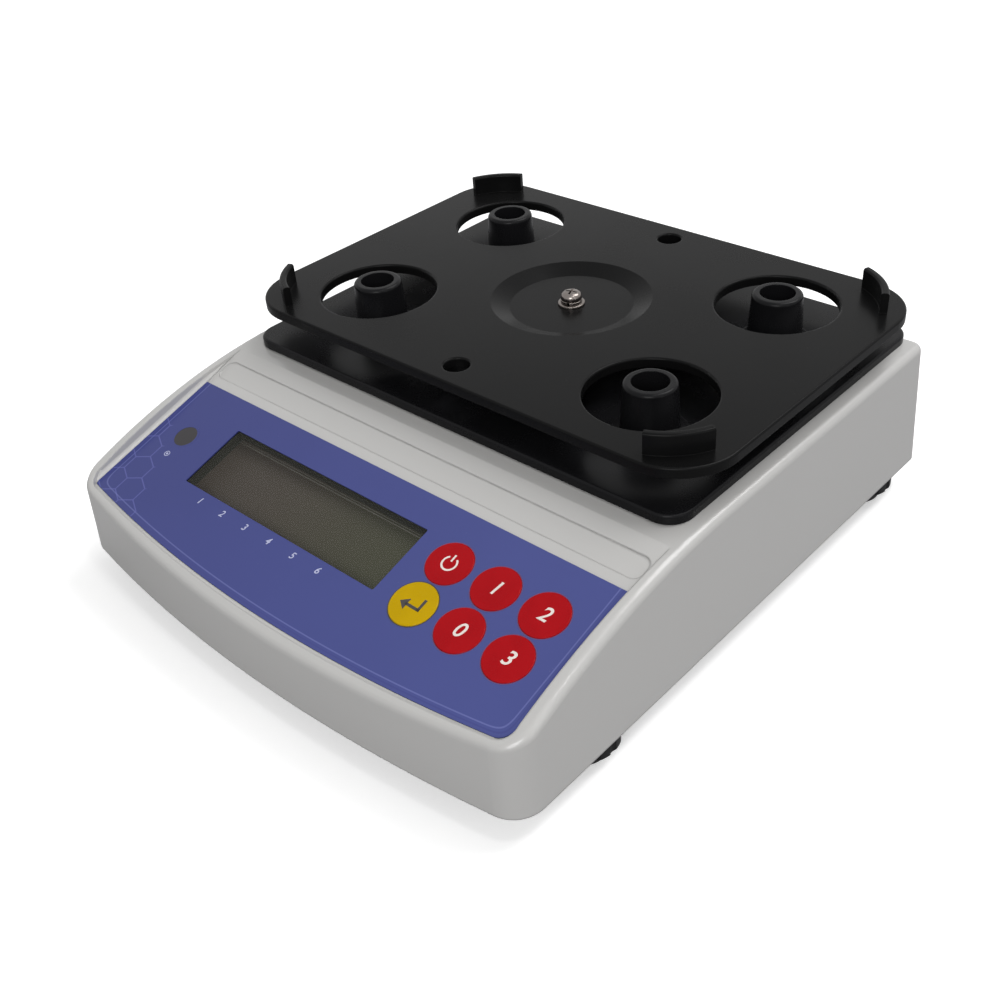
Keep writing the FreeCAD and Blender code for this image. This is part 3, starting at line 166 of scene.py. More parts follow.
# %% Group: handling
handling, inside, outside = new_group(
    "handling_marks",
    [("Vector", "Vector", None), ("Cloud", "Float", 0.03), ("Dust", "Float", 0.3)],
    [("Smudge", "Float"), ("Speck", "Float")],
)
cloud_scale = calculate(handling, "DIVIDE", 1.0, inside.outputs["Cloud"])
clouds = add_node(
    handling, "ShaderNodeTexNoise", "clouds", Vector=inside.outputs["Vector"], Scale=cloud_scale, Detail=4.0
)
cells = add_node(handling, "ShaderNodeTexVoronoi", "specks", Vector=inside.outputs["Vector"], Scale=700.0)
speck = fade(handling, cells.outputs["Distance"], 0.05, 0.16, 1.0, 0.0)
pick = add_node(handling, "ShaderNodeTexNoise", "which", Vector=inside.outputs["Vector"], Scale=260.0)
kept = fade(handling, pick.outputs["Fac"], 0.62, 0.70)
speck = calculate(handling, "MULTIPLY", speck, kept)
speck = calculate(handling, "MULTIPLY", speck, inside.outputs["Dust"])
handling.links.new(fade(handling, clouds.outputs["Fac"], 0.38, 0.68), outside.inputs["Smudge"])
handling.links.new(speck, outside.inputs["Speck"])

# %% [markdown]
# Turned and milled metal carries fine parallel lines from its tool. Stretching the coordinates
# of a noise until it is all lines gives them, and the same lines drive bump and roughness.

# %% Group: tool lines
tool_lines, inside, outside = new_group(
    "tool_lines",
    [("Vector", "Vector", None), ("Stretch", "Vector", (1.0, 1.0, 30.0)), ("Pitch", "Float", 0.0004)],
    [("Lines", "Float")],
)
stretched = add_node(
    tool_lines,
    "ShaderNodeVectorMath",
    "stretch",
    i0=inside.outputs["Vector"],
    i1=inside.outputs["Stretch"],
)
stretched.operation = "MULTIPLY"
line_scale = calculate(tool_lines, "DIVIDE", 0.1, inside.outputs["Pitch"])
lines = add_node(
    tool_lines, "ShaderNodeTexNoise", "lines", Vector=stretched.outputs[0], Scale=line_scale, Detail=2.0
)
tool_lines.links.new(lines.outputs["Fac"], outside.inputs["Lines"])


# %% [markdown]
# Every finish starts the same way: a Principled shader, object coordinates, grain, handling
# marks and a bump. The uniform numbers sit on the shader's own sockets, and only what changes
# over the surface is wired in.

# %% Base of every finish
def use_group(tree, group, **inputs):
    """A node that uses a group, with the group's inputs given by name."""
    node = add_node(tree, "ShaderNodeGroup")
    node.node_tree = group
    for title, value in inputs.items():
        feed(tree, node.inputs[title], value)
    return node


def opened(material):
    """The parts of a finish that further nodes join: its tree, shader and object coordinates."""
    tree = material.node_tree
    coordinates = next(node for node in tree.nodes if node.type == "TEX_COORD")
    return tree, tree.nodes["Principled BSDF"], coordinates.outputs["Object"]


def new_finish(
    name, colour, roughness, pebble=0.4, grain_depth=0.01, softness=0.5, cloud=30.0, dust=0.2, variation=0.04,
    edge=0.0, wear=1.0, **sockets,
):
    """A material with grain, smudges and dust. Pebble, cloud, grain depth and edge are in
    millimetres. Wear is how much of the gloss changes over the surface."""
    material = bpy.data.materials.new(name)
    material.use_nodes = True
    tree = material.node_tree
    shader = tree.nodes["Principled BSDF"]
    where = tree.nodes.new("ShaderNodeTexCoord").outputs["Object"]
    pebbles = use_group(tree, grain, Vector=where, Pebble=pebble * MM, Softness=softness)
    marks = use_group(tree, handling, Vector=where, Cloud=cloud * MM, Dust=dust)
    base = (*colour, 1.0)
    shade = tuple(channel * (1 - 2 * variation) for channel in colour) + (1.0,)
    tinted = blend_colour(tree, marks.outputs["Smudge"], base, shade)
    dusty = blend_colour(tree, marks.outputs["Speck"], tinted, (0.45, 0.44, 0.42, 1.0))
    tree.links.new(dusty, shader.inputs["Base Color"])
    dull = calculate(tree, "MULTIPLY", pebbles.outputs["Mask"], roughness * 0.06 * wear)
    worn = calculate(tree, "MULTIPLY_ADD", marks.outputs["Smudge"], roughness * 0.18 * wear)
    tree.links.new(dull, worn.node.inputs[2])
    tree.links.new(calculate(tree, "ADD", worn, roughness * (1 - 0.12 * wear)), shader.inputs["Roughness"])
    bump = add_node(tree, "ShaderNodeBump", "grain", Height=pebbles.outputs["Height"], Strength=1.0)
    bump.inputs["Distance"].default_value = grain_depth * MM
    if edge:
        rounded = tree.nodes.new("ShaderNodeBevel")
        rounded.samples = 6
        rounded.inputs["Radius"].default_value = edge * MM
        tree.links.new(rounded.outputs["Normal"], bump.inputs["Normal"])
    tree.links.new(bump.outputs["Normal"], shader.inputs["Normal"])
    for title, value in sockets.items():
        shader.inputs[title.replace("_", " ")].default_value = value
    return material


# %% [markdown]
# The housing is injection-moulded ABS, sprayed light grey and glossy. It has no fine grain, only
# the long shallow waves of a moulded wall, so the highlights along its edges wobble a little
# instead of breaking up. The lips of the panel recess are rounded by hand finishing, and a Bevel
# node gives them that highlight.

# %% Plastics
housing_paint = new_finish(
    "housing_paint", (0.455, 0.450, 0.440), 0.30, pebble=18.0, grain_depth=0.012, softness=0.0, cloud=90.0,
    dust=0.0, variation=0.002, edge=0.9, wear=0.15, Coat_Weight=0.25, Coat_Roughness=0.10,
)
cover_plastic = new_finish(
    "cover_plastic", (0.40, 0.40, 0.39), 0.55, pebble=0.35, grain_depth=0.02, dust=0.4, variation=0.03, edge=0.3
)
tray_black = new_finish(
    "tray_black", (0.0070, 0.0070, 0.0078), 0.28, pebble=0.5, grain_depth=0.002, cloud=25.0, dust=0.04,
    variation=0.12, edge=0.35, Specular_IOR_Level=0.09,
)
plate_black = new_finish(
    "plate_black", (0.0055, 0.0055, 0.0056), 0.26, pebble=0.32, grain_depth=0.0012, cloud=45.0, dust=0.05,
    variation=0.10, edge=0.25, Specular_IOR_Level=0.06,
)
foot_black = new_finish(
    "foot_black", (0.007, 0.007, 0.0075), 0.45, pebble=0.4, grain_depth=0.01, dust=0.2, edge=0.2,
    Specular_IOR_Level=0.2,
)
pad_rubber = new_finish("pad_rubber", (0.018, 0.018, 0.018), 0.8, pebble=0.25, grain_depth=0.03, dust=0.8, edge=0.2)
connector_black = new_finish(
    "connector_black", (0.014, 0.014, 0.014), 0.42, pebble=0.3, grain_depth=0.01, dust=0.2, edge=0.12,
    Specular_IOR_Level=0.25,
)
light_guide = new_finish("light_guide", (0.68, 0.69, 0.66), 0.6, pebble=0.3, grain_depth=0.01, dust=0.1)

# %% [markdown]
# Metals differ in how they were made: a plated screw is bright with faint turning lines, brass
# inserts are knurled, and the load cell is milled bar, brushed along its length.


# %% Metals
def new_metal(name, colour, roughness, stretch, pitch, depth, edge=0.15):
    """A finish with a tool's lines, whose pitch and depth are in millimetres."""
    material = new_finish(
        name, colour, roughness, pebble=0.5, grain_depth=0.002, dust=0.15, variation=0.05, edge=edge, Metallic=1.0
    )
    tree, shader, where = opened(material)
    drawn = use_group(tree, tool_lines, Vector=where, Stretch=stretch, Pitch=pitch * MM)
    old = shader.inputs["Normal"].links[0].from_socket
    bump = add_node(tree, "ShaderNodeBump", "tool lines", Height=drawn.outputs["Lines"], Normal=old)
    bump.inputs["Distance"].default_value = depth * MM
    tree.links.new(bump.outputs["Normal"], shader.inputs["Normal"])
    return material


screw_steel = new_metal("screw_steel", (0.20, 0.178, 0.165), 0.24, (1.0, 1.0, 14.0), 0.25, 0.006)
insert_brass = new_metal("insert_brass", (0.66, 0.47, 0.20), 0.30, (1.0, 1.0, 20.0), 0.3, 0.01)
cell_aluminium = new_metal("cell_aluminium", (0.72, 0.73, 0.75), 0.34, (20.0, 1.0, 20.0), 0.3, 0.008)
connector_metal = new_metal("connector_metal", (0.62, 0.61, 0.58), 0.28, (1.0, 20.0, 1.0), 0.4, 0.004)

# %% [markdown]
# The key panel is a polyester film, printed on its underside and smooth on top. Its blue is
# deeper at the left than at the right, as painted light: it is made lighter towards the right,
# where the lamps stand. Two fine lines, one darker and one lighter, run inside its front and side
# edges. They follow the outline, so they are drawn by distance from the outline: from the straight
# sides, and from the large circle that the bowed front is part of.

# %% Panel film
film_half = film_high.x
film_reach = (film_high.y - film_low.y) / math.cos(panel_slope)
front_bow = 8.6 * MM
housing_half = 97.0 * MM
bow_radius = (housing_half**2 + front_bow**2) / (2 * front_bow)
panel_film = new_finish(
    "panel_film", (0.042, 0.052, 0.200), 0.20, pebble=1.2, grain_depth=0.0008, cloud=50.0, dust=0.05, variation=0.02,
    Specular_IOR_Level=0.22,
)
tree, shader, where = opened(panel_film)
to_panel = add_node(tree, "ShaderNodeMapping", "panel coordinates", Vector=where)
back_to_panel = panel_place.inverted()
to_panel.inputs["Location"].default_value = back_to_panel.translation
to_panel.inputs["Rotation"].default_value = back_to_panel.to_euler()
split = add_node(tree, "ShaderNodeSeparateXYZ", "right and up", Vector=to_panel.outputs[0])
right, up = split.outputs["X"], split.outputs["Y"]
from_side = calculate(tree, "SUBTRACT", film_half, calculate(tree, "ABSOLUTE", right))
circle_up = calculate(tree, "SUBTRACT", up, bow_radius - film_reach)
across = calculate(tree, "MULTIPLY", right, right)
along = calculate(tree, "MULTIPLY", circle_up, circle_up)
from_middle = calculate(tree, "SQRT", calculate(tree, "ADD", across, along))
from_front = calculate(tree, "SUBTRACT", bow_radius, from_middle)
from_edge = calculate(tree, "SMOOTH_MIN", from_side, from_front)
from_edge.node.inputs[2].default_value = 6 * MM


def band(distance, middle, width):
    """One where a distance is near a value, and zero elsewhere, in millimetres."""
    off = calculate(tree, "ABSOLUTE", calculate(tree, "SUBTRACT", distance, middle * MM))
    return fade(tree, off, width * 0.25 * MM, width * MM, 1.0, 0.0)


colour = shader.inputs["Base Color"].links[0].from_socket
# Painted light: the blue is multiplied lighter towards the right, as if lit more from that side.
painted_light_share = fade(tree, right, -film_half, film_half)
painted_light_tint = blend_colour(tree, painted_light_share, (0.98, 0.98, 0.98, 1.0), (1.36, 1.36, 1.18, 1.0))
colour = blend_colour(tree, 1.0, colour, painted_light_tint, "MULTIPLY")
# Two fine lines inside the outline: a darker one 1.2 mm in and a lighter one 2.3 mm in.
dark_line = calculate(tree, "MULTIPLY", band(from_edge, 1.2, 0.35), 0.55)
colour = blend_colour(tree, dark_line, colour, (0.045, 0.05, 0.20, 1.0))
light_line = calculate(tree, "MULTIPLY", band(from_edge, 2.3, 0.3), 0.35)
colour = blend_colour(tree, light_line, colour, (0.20, 0.22, 0.50, 1.0))
tree.links.new(colour, shader.inputs["Base Color"])
print("film", round(film_half / MM * 2, 1), "by", round(film_reach / MM, 1), "mm")

# %% [markdown]
# Only a faint pattern breaks up the left end of the film: a plain honeycomb of thin lines in a
# slightly lighter blue. A honeycomb is two plain grids of cell middles, one half a step off the
# other. Folding the coordinates gives the distance to the nearest middle of the first grid, and
# half a step less that distance gives the second, so both need only one fold per direction.

# %% Honeycomb on the film
cell_half = 5.0
cell_rise = cell_half * math.sqrt(3)
first_cell = (-81.0, -38.8)
row_step = 15.5


def folded(value, middle, step, reach):
    """The distance to the nearest of many middles, in units in which half a step is reach."""
    steps = calculate(tree, "DIVIDE", calculate(tree, "SUBTRACT", value, middle * MM), step * MM)
    return calculate(tree, "MULTIPLY", calculate(tree, "PINGPONG", steps, 0.5), 2 * reach)


def from_cell(aside, above):
    """How far a point is from the middle of a six-sided cell, measured by its straight sides."""
    slanted = calculate(tree, "MULTIPLY", aside, 0.5)
    slanted = calculate(tree, "ADD", slanted, calculate(tree, "MULTIPLY", above, math.sqrt(0.75)))
    return calculate(tree, "MAXIMUM", aside, slanted)


aside = folded(right, first_cell[0], 2 * cell_half, cell_half)
above = folded(up, first_cell[1], row_step, cell_rise)
other_aside = calculate(tree, "SUBTRACT", cell_half, aside)
other_above = calculate(tree, "SUBTRACT", cell_rise, above)
nearest = calculate(tree, "MINIMUM", from_cell(aside, above), from_cell(other_aside, other_above))
cell_line = fade(tree, nearest, cell_half - 0.3, cell_half - 0.12)
slant = calculate(tree, "ADD", right, calculate(tree, "MULTIPLY", up, 0.62))
shown = fade(tree, slant, -98.6 * MM, -97.0 * MM, 0.42, 0.0)
colour = blend_colour(tree, calculate(tree, "MULTIPLY", cell_line, shown), colour, (0.15, 0.16, 0.46, 1.0))
tree.links.new(colour, shader.inputs["Base Color"])

# %% [markdown]
# The display and the level are seen through clear covers. A thin clear sheet is best drawn with
# a low alpha and a sharp gloss: light falls through it onto what lies behind, and its surface
# still mirrors the lamps. The display itself is unlit, a dark olive glass that is a little
# greener towards one corner.

# %% Display and level
lens_clear = new_finish(
    "lens_clear", (0.05, 0.05, 0.05), 0.06, pebble=3.0, grain_depth=0.0005, dust=0.02, variation=0.02, Alpha=0.10,
    Specular_IOR_Level=0.3,
)
lcd_glass = new_finish(
    "lcd_glass", (0.078, 0.066, 0.053), 0.34, pebble=0.3, grain_depth=0.0004, cloud=40.0, dust=0.0, variation=0.03,
    Specular_IOR_Level=0.1,
)
tree, shader, where = opened(lcd_glass)
split = add_node(tree, "ShaderNodeSeparateXYZ", "across", Vector=where)
greener = fade(tree, split.outputs["X"], -45 * MM, 32 * MM)
colour = shader.inputs["Base Color"].links[0].from_socket
colour = blend_colour(tree, greener, colour, (0.92, 1.12, 0.90, 1.0), "MULTIPLY")
tree.links.new(colour, shader.inputs["Base Color"])
level_cup = new_finish(
    "level_cup", (0.30, 0.30, 0.31), 0.12, pebble=1.5, grain_depth=0.002, dust=0.1, edge=0.2
)
level_liquid = new_finish(
    "level_liquid", (0.045, 0.044, 0.048), 0.10, pebble=2.0, grain_depth=0.0005, dust=0.0, variation=0.05,
    Specular_IOR_Level=0.3,
)
board_green = new_finish(
    "board_green", (0.015, 0.13, 0.045), 0.35, pebble=0.6, grain_depth=0.01, dust=0.2, variation=0.05, edge=0.1
)

# %% [markdown]
# The keys are printed on the film over a shallow emboss, in an opaque red and one yellow. Screen
# printing leaves the ink very slightly uneven, with a fine mesh in it that only shows close up.

# %% Key inks
def new_ink(name, colour, roughness=0.35, pebble=0.2, grain_depth=0.003, cloud=5.0, dust=0.1, **more):
    """A printed ink: finely meshed, and hardly dusty."""
    return new_finish(name, colour, roughness, pebble, grain_depth, cloud=cloud, dust=dust, **more)


key_ink = dict(
    roughness=0.26, pebble=0.22, grain_depth=0.0015, cloud=9.0, dust=0.02, edge=0.2, Specular_IOR_Level=0.08
)
key_red = new_ink("key_red", (0.35, 0.0035, 0.007), variation=0.04, **key_ink)
key_yellow = new_ink("key_yellow", (0.48, 0.305, 0.001), variation=0.03, **key_ink)
mark_white = new_ink("mark_white", (0.72, 0.66, 0.62))
mark_pale = new_ink("mark_pale", (0.42, 0.44, 0.62))
mark_dark = new_ink("mark_dark", (0.035, 0.03, 0.03))
key_rim = new_ink("key_rim", (0.10, 0.045, 0.15), roughness=0.3, dust=0.05)

# %% [markdown]
# The record names a material slot for every solid, so one loop dresses them all. The solids keep
# their shapes: only the material in each object's slots changes.

# %% Dress the solids
finishes = {
    finish.name.partition(".")[0]: finish
    for finish in (
        housing_paint, cover_plastic, panel_film, lens_clear, lcd_glass, light_guide, board_green, connector_black,
        connector_metal, level_cup, level_liquid, screw_steel, insert_brass, cell_aluminium, tray_black, plate_black,
        foot_black, pad_rubber, key_red, key_yellow,
    )
}
for row in frame["record"]["subparts"]:
    solid = nodes[row["node"]]
    finish = finishes[row["material_slot"]]
    for material_slot in solid.material_slots:
        material_slot.material = finish
    if not solid.material_slots:
        solid.data.materials.append(finish)
print(len(finishes), "finishes on", len(nodes), "solids")

# %% [markdown]
# New pieces are shaped in a bmesh and then take one way out: doubles are merged, normals turned
# outwards, the place is put into the mesh, and the object rides on a body. Smooth shading with
# sharp edges by angle keeps turned faces round and flat ends crisp.


# %% Piece helpers
def as_piece(name, shape, finish, body, place=None, sharp=35.0):
    """Turn a finished bmesh into an object at the origin that rides on a body."""
    bmesh.ops.remove_doubles(shape, verts=shape.verts, dist=WELD)
    bmesh.ops.recalc_face_normals(shape, faces=shape.faces)
    if place is not None:
        bmesh.ops.transform(shape, matrix=place, verts=shape.verts)
    mesh = bpy.data.meshes.new(name)
    shape.to_mesh(mesh)
    shape.free()
    mesh.shade_smooth()
    mesh.set_sharp_from_angle(angle=math.radians(sharp))
    mesh.materials.append(finish)
    piece = bpy.data.objects.new(name, mesh)
    bpy.context.scene.collection.objects.link(piece)
    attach(piece, body)
    return piece


def spin_profile(profile, steps=48, closed=False):
    """Spin a profile of radius and height, in millimetres, once round the Z axis."""
    shape = bmesh.new()
    points = [shape.verts.new((radius * MM, 0, height * MM)) for radius, height in profile]
    ends = points[1:] + points[:1] if closed else points[1:]
    edges = [shape.edges.new(pair) for pair in zip(points, ends)]
    bmesh.ops.spin(
        shape, geom=points + edges, cent=(0, 0, 0), axis=(0, 0, 1), angle=math.tau, steps=steps, use_merge=True
    )
    bmesh.ops.remove_doubles(shape, verts=shape.verts, dist=WELD)
    bmesh.ops.recalc_face_normals(shape, faces=shape.faces)
    return shape


def extrude_by(shape, face, reach):
    """Extrude one face and move what grew, in millimetres."""
    grown = bmesh.ops.extrude_face_region(shape, geom=[face])["geom"]
    moved = [part for part in grown if isinstance(part, bmesh.types.BMVert)]
    bmesh.ops.translate(shape, vec=Vector(reach) * MM, verts=moved)


def cut_with(shape, tool):
    """Take the closed shape of one bmesh away from another, with a Boolean that is applied."""
    pair = []
    for label, part in (("work", shape), ("tool", tool)):
        bmesh.ops.recalc_face_normals(part, faces=part.faces)
        mesh = bpy.data.meshes.new(label)
        part.to_mesh(mesh)
        part.free()
        pair.append(bpy.data.objects.new(label, mesh))
        bpy.context.scene.collection.objects.link(pair[-1])
    work, blade = pair
    modifier = work.modifiers.new("recess", "BOOLEAN")
    modifier.object = blade
    modifier.operation = "DIFFERENCE"
    modifier.solver = "EXACT"
    graph = bpy.context.evaluated_depsgraph_get()
    result = bmesh.new()
    result.from_mesh(bpy.data.meshes.new_from_object(work.evaluated_get(graph)))
    for thing in pair:
        bpy.data.objects.remove(thing)
    return result


def block(width, depth, height, middle=(0, 0, 0), edge=0.0, segments=2):
    """A block with rounded edges, in millimetres."""
    shape = bmesh.new()
    bmesh.ops.create_cube(shape, size=1.0)
    bmesh.ops.scale(shape, vec=Vector((width, depth, height)) * MM, verts=shape.verts)
    bmesh.ops.translate(shape, vec=Vector(middle) * MM, verts=shape.verts)
    if edge:
        bmesh.ops.bevel(
            shape, geom=shape.edges[:], offset=edge * MM, segments=segments, profile=0.5, affect="EDGES", material=-1
        )
    return shape


# %% [markdown]
# Where a solid lies on the panel, its extent is wanted to the right, up the slope and out of it.
# Reading that from the solid's own vertices keeps every mark on what carries it.

# %% Extents on the panel
def panel_extent(name):
    """The lowest and highest right, up and out of a solid, in millimetres."""
    points = [back_to_panel @ vertex.co for vertex in nodes[name].data.vertices]
    low = Vector(min(point[axis] for point in points) for axis in range(3)) / MM
    high = Vector(max(point[axis] for point in points) for axis in range(3)) / MM
    return low, high


key_names = [name for name in nodes if name.startswith("key_") and name != "key_switches"]
key_middles = {}
for name in key_names:
    low, high = panel_extent(name)
    key_middles[name] = ((low.x + high.x) / 2, (low.y + high.y) / 2, high.z)
    print(name, [round(value, 2) for value in key_middles[name]])

# %% [markdown]
# A key's mark is ink on its face. The digits come from Blender's built-in typeface, leaned over
# a little; text becomes a mesh first, and only then takes its place on the slope.


# %% Printed digits
def print_digit(name, text, size, middle, finish, body, weight=0.012):
    """A digit in the built-in typeface, as a thin layer of ink on the panel."""
    curve = bpy.data.curves.new(name, "FONT")
    curve.body = text
    curve.size = size * MM
    curve.shear = 0.18
    curve.offset = weight * size * MM
    curve.extrude = 0.04 * MM
    curve.align_x = "CENTER"
    curve.align_y = "CENTER"
    draft = bpy.data.objects.new(name, curve)
    bpy.context.scene.collection.objects.link(draft)
    graph = bpy.context.evaluated_depsgraph_get()
    shape = bmesh.new()
    shape.from_mesh(bpy.data.meshes.new_from_object(draft.evaluated_get(graph)))
    bpy.data.objects.remove(draft)
    bpy.data.curves.remove(curve)
    return as_piece(name, shape, finish, body, on_panel(*middle))


film_top = panel_extent("panel_film")[1].z
for name, text in (("key_1", "1"), ("key_2", "2"), ("key_3", "3"), ("key_zero", "0")):
    print_digit(f"{name}_mark", text, 6.4, key_middles[name], mark_white, name)
first_mark, mark_step, marks_up = -48.7, 11.15, -38.0
for index in range(6):
    middle = (first_mark + mark_step * index, marks_up, film_top)
    print_digit(f"display_mark_{index + 1}", str(index + 1), 3.3, middle, mark_pale, "housing")
print("film top", round(film_top, 3), "mm out of the panel's plane")

# %% [markdown]
# The two symbols are drawn from bent and straight strokes. A stroke is a small square that is
# spun through part of a circle, or a flat bar: the power sign is an open ring with a bar in its
# gap, and the enter sign is a bar that turns down into an arrow.


# %% Printed symbols
def ring_stroke(radius, width, start, sweep, steps=40):
    """A flat stroke along part of a circle, in millimetres and degrees, closed at both ends."""
    shape = bmesh.new()
    inner, outer, half = radius - width / 2, radius + width / 2, 0.03
    corners = [(inner, -half), (outer, -half), (outer, half), (inner, half)]
    face = shape.faces.new([shape.verts.new((right * MM, 0, out * MM)) for right, out in corners])
    turn = Matrix.Rotation(math.radians(start), 3, "Z")
    bmesh.ops.rotate(shape, cent=(0, 0, 0), matrix=turn, verts=shape.verts)
    full = sweep >= 360
    section = face.verts[:] + face.edges[:] if full else [face]
    if full:
        shape.faces.remove(face)
    bmesh.ops.spin(
        shape, geom=section, cent=(0, 0, 0), axis=(0, 0, 1), angle=math.radians(sweep), steps=steps, use_merge=full
    )
    bmesh.ops.remove_doubles(shape, verts=shape.verts, dist=WELD)
    bmesh.ops.holes_fill(shape, edges=shape.edges[:], sides=0)
    return shape


def join_shapes(*shapes):
    """Put several bmeshes into one."""
    joined = bmesh.new()
    for shape in shapes:
        carrier = bpy.data.meshes.new("carrier")
        shape.to_mesh(carrier)
        shape.free()
        joined.from_mesh(carrier)
        bpy.data.meshes.remove(carrier)
    return joined


power_sign = join_shapes(ring_stroke(2.3, 0.6, 125, 290), block(0.6, 2.4, 0.08, (0, 1.9, 0)))
as_piece(
    "key_on_off_mark", power_sign, mark_white, "key_on_off", on_panel(*key_middles["key_on_off"])
)
arrow_head = bmesh.new()
tip = [arrow_head.verts.new(Vector(point) * MM) for point in ((-4.1, -1.0, 0), (-1.5, 0.9, 0), (-1.5, -2.9, 0))]
extrude_by(arrow_head, arrow_head.faces.new(tip), (0, 0, 0.04))
enter_sign = join_shapes(
    block(5.2, 0.9, 0.08, (0.6, -1.0, 0)), block(0.9, 4.1, 0.08, (2.75, 0.6, 0)), arrow_head
)
as_piece(
    "key_enter_mark", enter_sign, mark_dark, "key_enter", on_panel(*key_middles["key_enter"])
)

# %% [markdown]
# Round each key the film is printed with a hair line, which separates the ink of the key from
# the blue. It is a flat ring on the film, so it stays still when the key is pressed. Only round
# the yellow key is the line dark enough to be seen from arm's length.

# %% Key outlines
for name, (key_right, key_up, _) in key_middles.items():
    low, high = panel_extent(name)
    radius = (high.x - low.x) / 2
    outline = ring_stroke(radius + 0.2, 0.26, 0, 360, steps=64)
    finish = mark_dark if name == "key_enter" else key_rim
    as_piece(f"{name}_outline", outline, finish, "housing", on_panel(key_right, key_up, film_top))

# %% [markdown]
# The lip round the recess is moulded with a hollow foot, which runs down to the edge of the film
# and catches the lamps as a bright line. At the two sides it is straight, so its section is
# extruded, and it runs out to nothing behind the film. At the front it follows the bow, so its
# section is spun about the bow's middle. It stays lower than the lip, which is lowest in front.

# %% Hollow foot of the lip
recess_margin = 1.2
foot_base = -0.35
run_out = 14.0
side_up = (bow_radius - film_reach - math.sqrt(bow_radius**2 - film_half**2)) / MM


def foot_section(shape, rise, steps=7):
    """The section of the foot as one face in the XZ plane, with the wall at x = 0."""
    corners = [(0.3, foot_base), (0.3, rise), (0, rise)]
    for step in range(1, steps + 1):
        angle = math.pi / 2 * step / steps
        corners.append((recess_margin * (math.cos(angle) - 1), rise * (1 - math.sin(angle))))
    corners.append((-recess_margin, foot_base))
    return shape.faces.new([shape.verts.new((x * MM, 0, z * MM)) for x, z in corners])


def side_foot(side, rise):
    """A straight foot beside the film, from behind it to its front corner. Side is 1 or -1."""
    shape = bmesh.new()
    section = foot_section(shape, rise)
    wall = film_half + recess_margin * MM
    bmesh.ops.translate(shape, vec=(wall, run_out * MM, 0), verts=shape.verts)
    extrude_by(shape, section, (0, side_up - run_out, 0))
    bmesh.ops.holes_fill(shape, edges=shape.edges[:], sides=0)
    everything = shape.verts[:] + shape.edges[:] + shape.faces[:]
    bmesh.ops.bisect_plane(shape, geom=everything, plane_co=(0, 0, 0), plane_no=(0, 1, 0))
    back_end = [vert for vert in shape.verts if vert.co.y > MM]
    to_wall = Matrix.Translation((-wall, 0, -foot_base * MM))
    bmesh.ops.scale(shape, vec=(0.1, 1, 0.1), space=to_wall, verts=back_end)
    if side < 0:
        bmesh.ops.scale(shape, vec=(-1, 1, 1), verts=shape.verts)
    bmesh.ops.recalc_face_normals(shape, faces=shape.faces)
    return shape


def front_foot(rise, steps=64):
    """A foot along the bowed front of the film."""
    shape = bmesh.new()
    section = foot_section(shape, rise)
    bmesh.ops.rotate(shape, cent=(0, 0, 0), matrix=Matrix.Rotation(-math.pi / 2, 3, "Z"), verts=shape.verts)
    bmesh.ops.translate(shape, vec=(0, -film_reach - recess_margin * MM, 0), verts=shape.verts)
    bow_middle = Vector((0, bow_radius - film_reach, 0))
    half_sweep = math.asin(film_half / bow_radius)
    bmesh.ops.rotate(shape, cent=bow_middle, matrix=Matrix.Rotation(-half_sweep, 3, "Z"), verts=shape.verts)
    bmesh.ops.spin(shape, geom=[section], cent=bow_middle, axis=(0, 0, 1), angle=2 * half_sweep, steps=steps)
    bmesh.ops.holes_fill(shape, edges=shape.edges[:], sides=0)
    bmesh.ops.recalc_face_normals(shape, faces=shape.faces)
    return shape


lip_foot = join_shapes(side_foot(-1, 1.7), side_foot(1, 1.7), front_foot(0.33))
as_piece("lip_foot", lip_foot, housing_paint, "housing", on_panel(0, 0, film_top - 0.05))

# %% [markdown]
# Behind the window the display is a stack: the dark glass, a polariser film laid on it a little
# smaller than the glass, and the edge of the stack, where two thin lines along the back are a
# painted highlight of the light it catches. The film is a thin rounded sheet and the two lines are
# slender strips of a lighter colour. A dark shroud lines the well under the window; its dark olive
# is a dark bezel and also painted shade in the well. A dark border is printed under the lens where
# it rests on its ledge, so that no grey wall of the housing shows. The shroud and the border are
# each a block with a smaller block cut out of its middle.

# %% Display stack
lens_low, lens_high = panel_extent("display_lens")
window_lap = 1.8
glass_top = panel_extent("lcd_glass")[1].z
window_left, window_right = lens_low.x + window_lap, lens_high.x - window_lap
window_front, window_back = lens_low.y + window_lap, lens_high.y - window_lap
print("window", [round(value, 2) for value in (window_left, window_right, window_front, window_back, glass_top)])
sheet_width, sheet_depth = window_right - window_left + 1.0, window_back - window_front - 0.2
sheet_middle = ((window_left + window_right) / 2, (window_front + window_back) / 2 - 1.0, glass_top + 0.1)
polariser = block(sheet_width, sheet_depth, 0.2, sheet_middle, edge=0.06)
as_piece("display_polariser", polariser, lcd_glass, "housing", panel_place)
# Partly painted shade: the shroud's dark olive stands for a dark bezel and also for the shade that falls in the well
# under the window.
shroud_dark = new_finish(
    "shroud_dark", (0.042, 0.043, 0.033), 0.6, pebble=0.4, grain_depth=0.004, cloud=12.0, dust=0.02,
    Specular_IOR_Level=0.1,
)
shroud_rise = lens_low.z - glass_top - 0.06
shroud_middle = [(window_left + window_right) / 2, (window_front + window_back) / 2, glass_top + shroud_rise / 2]
shroud_width, shroud_depth = window_right - window_left, window_back - window_front
shroud = cut_with(
    block(shroud_width + 0.3, shroud_depth + 0.3, shroud_rise, shroud_middle),
    block(shroud_width - 0.3, shroud_depth - 0.3, shroud_rise + 2.0, shroud_middle, edge=0.3),
)
as_piece("display_shroud", shroud, shroud_dark, "housing", panel_place)
border_middle = [(lens_low.x + lens_high.x) / 2, (lens_low.y + lens_high.y) / 2, lens_low.z + 0.04]
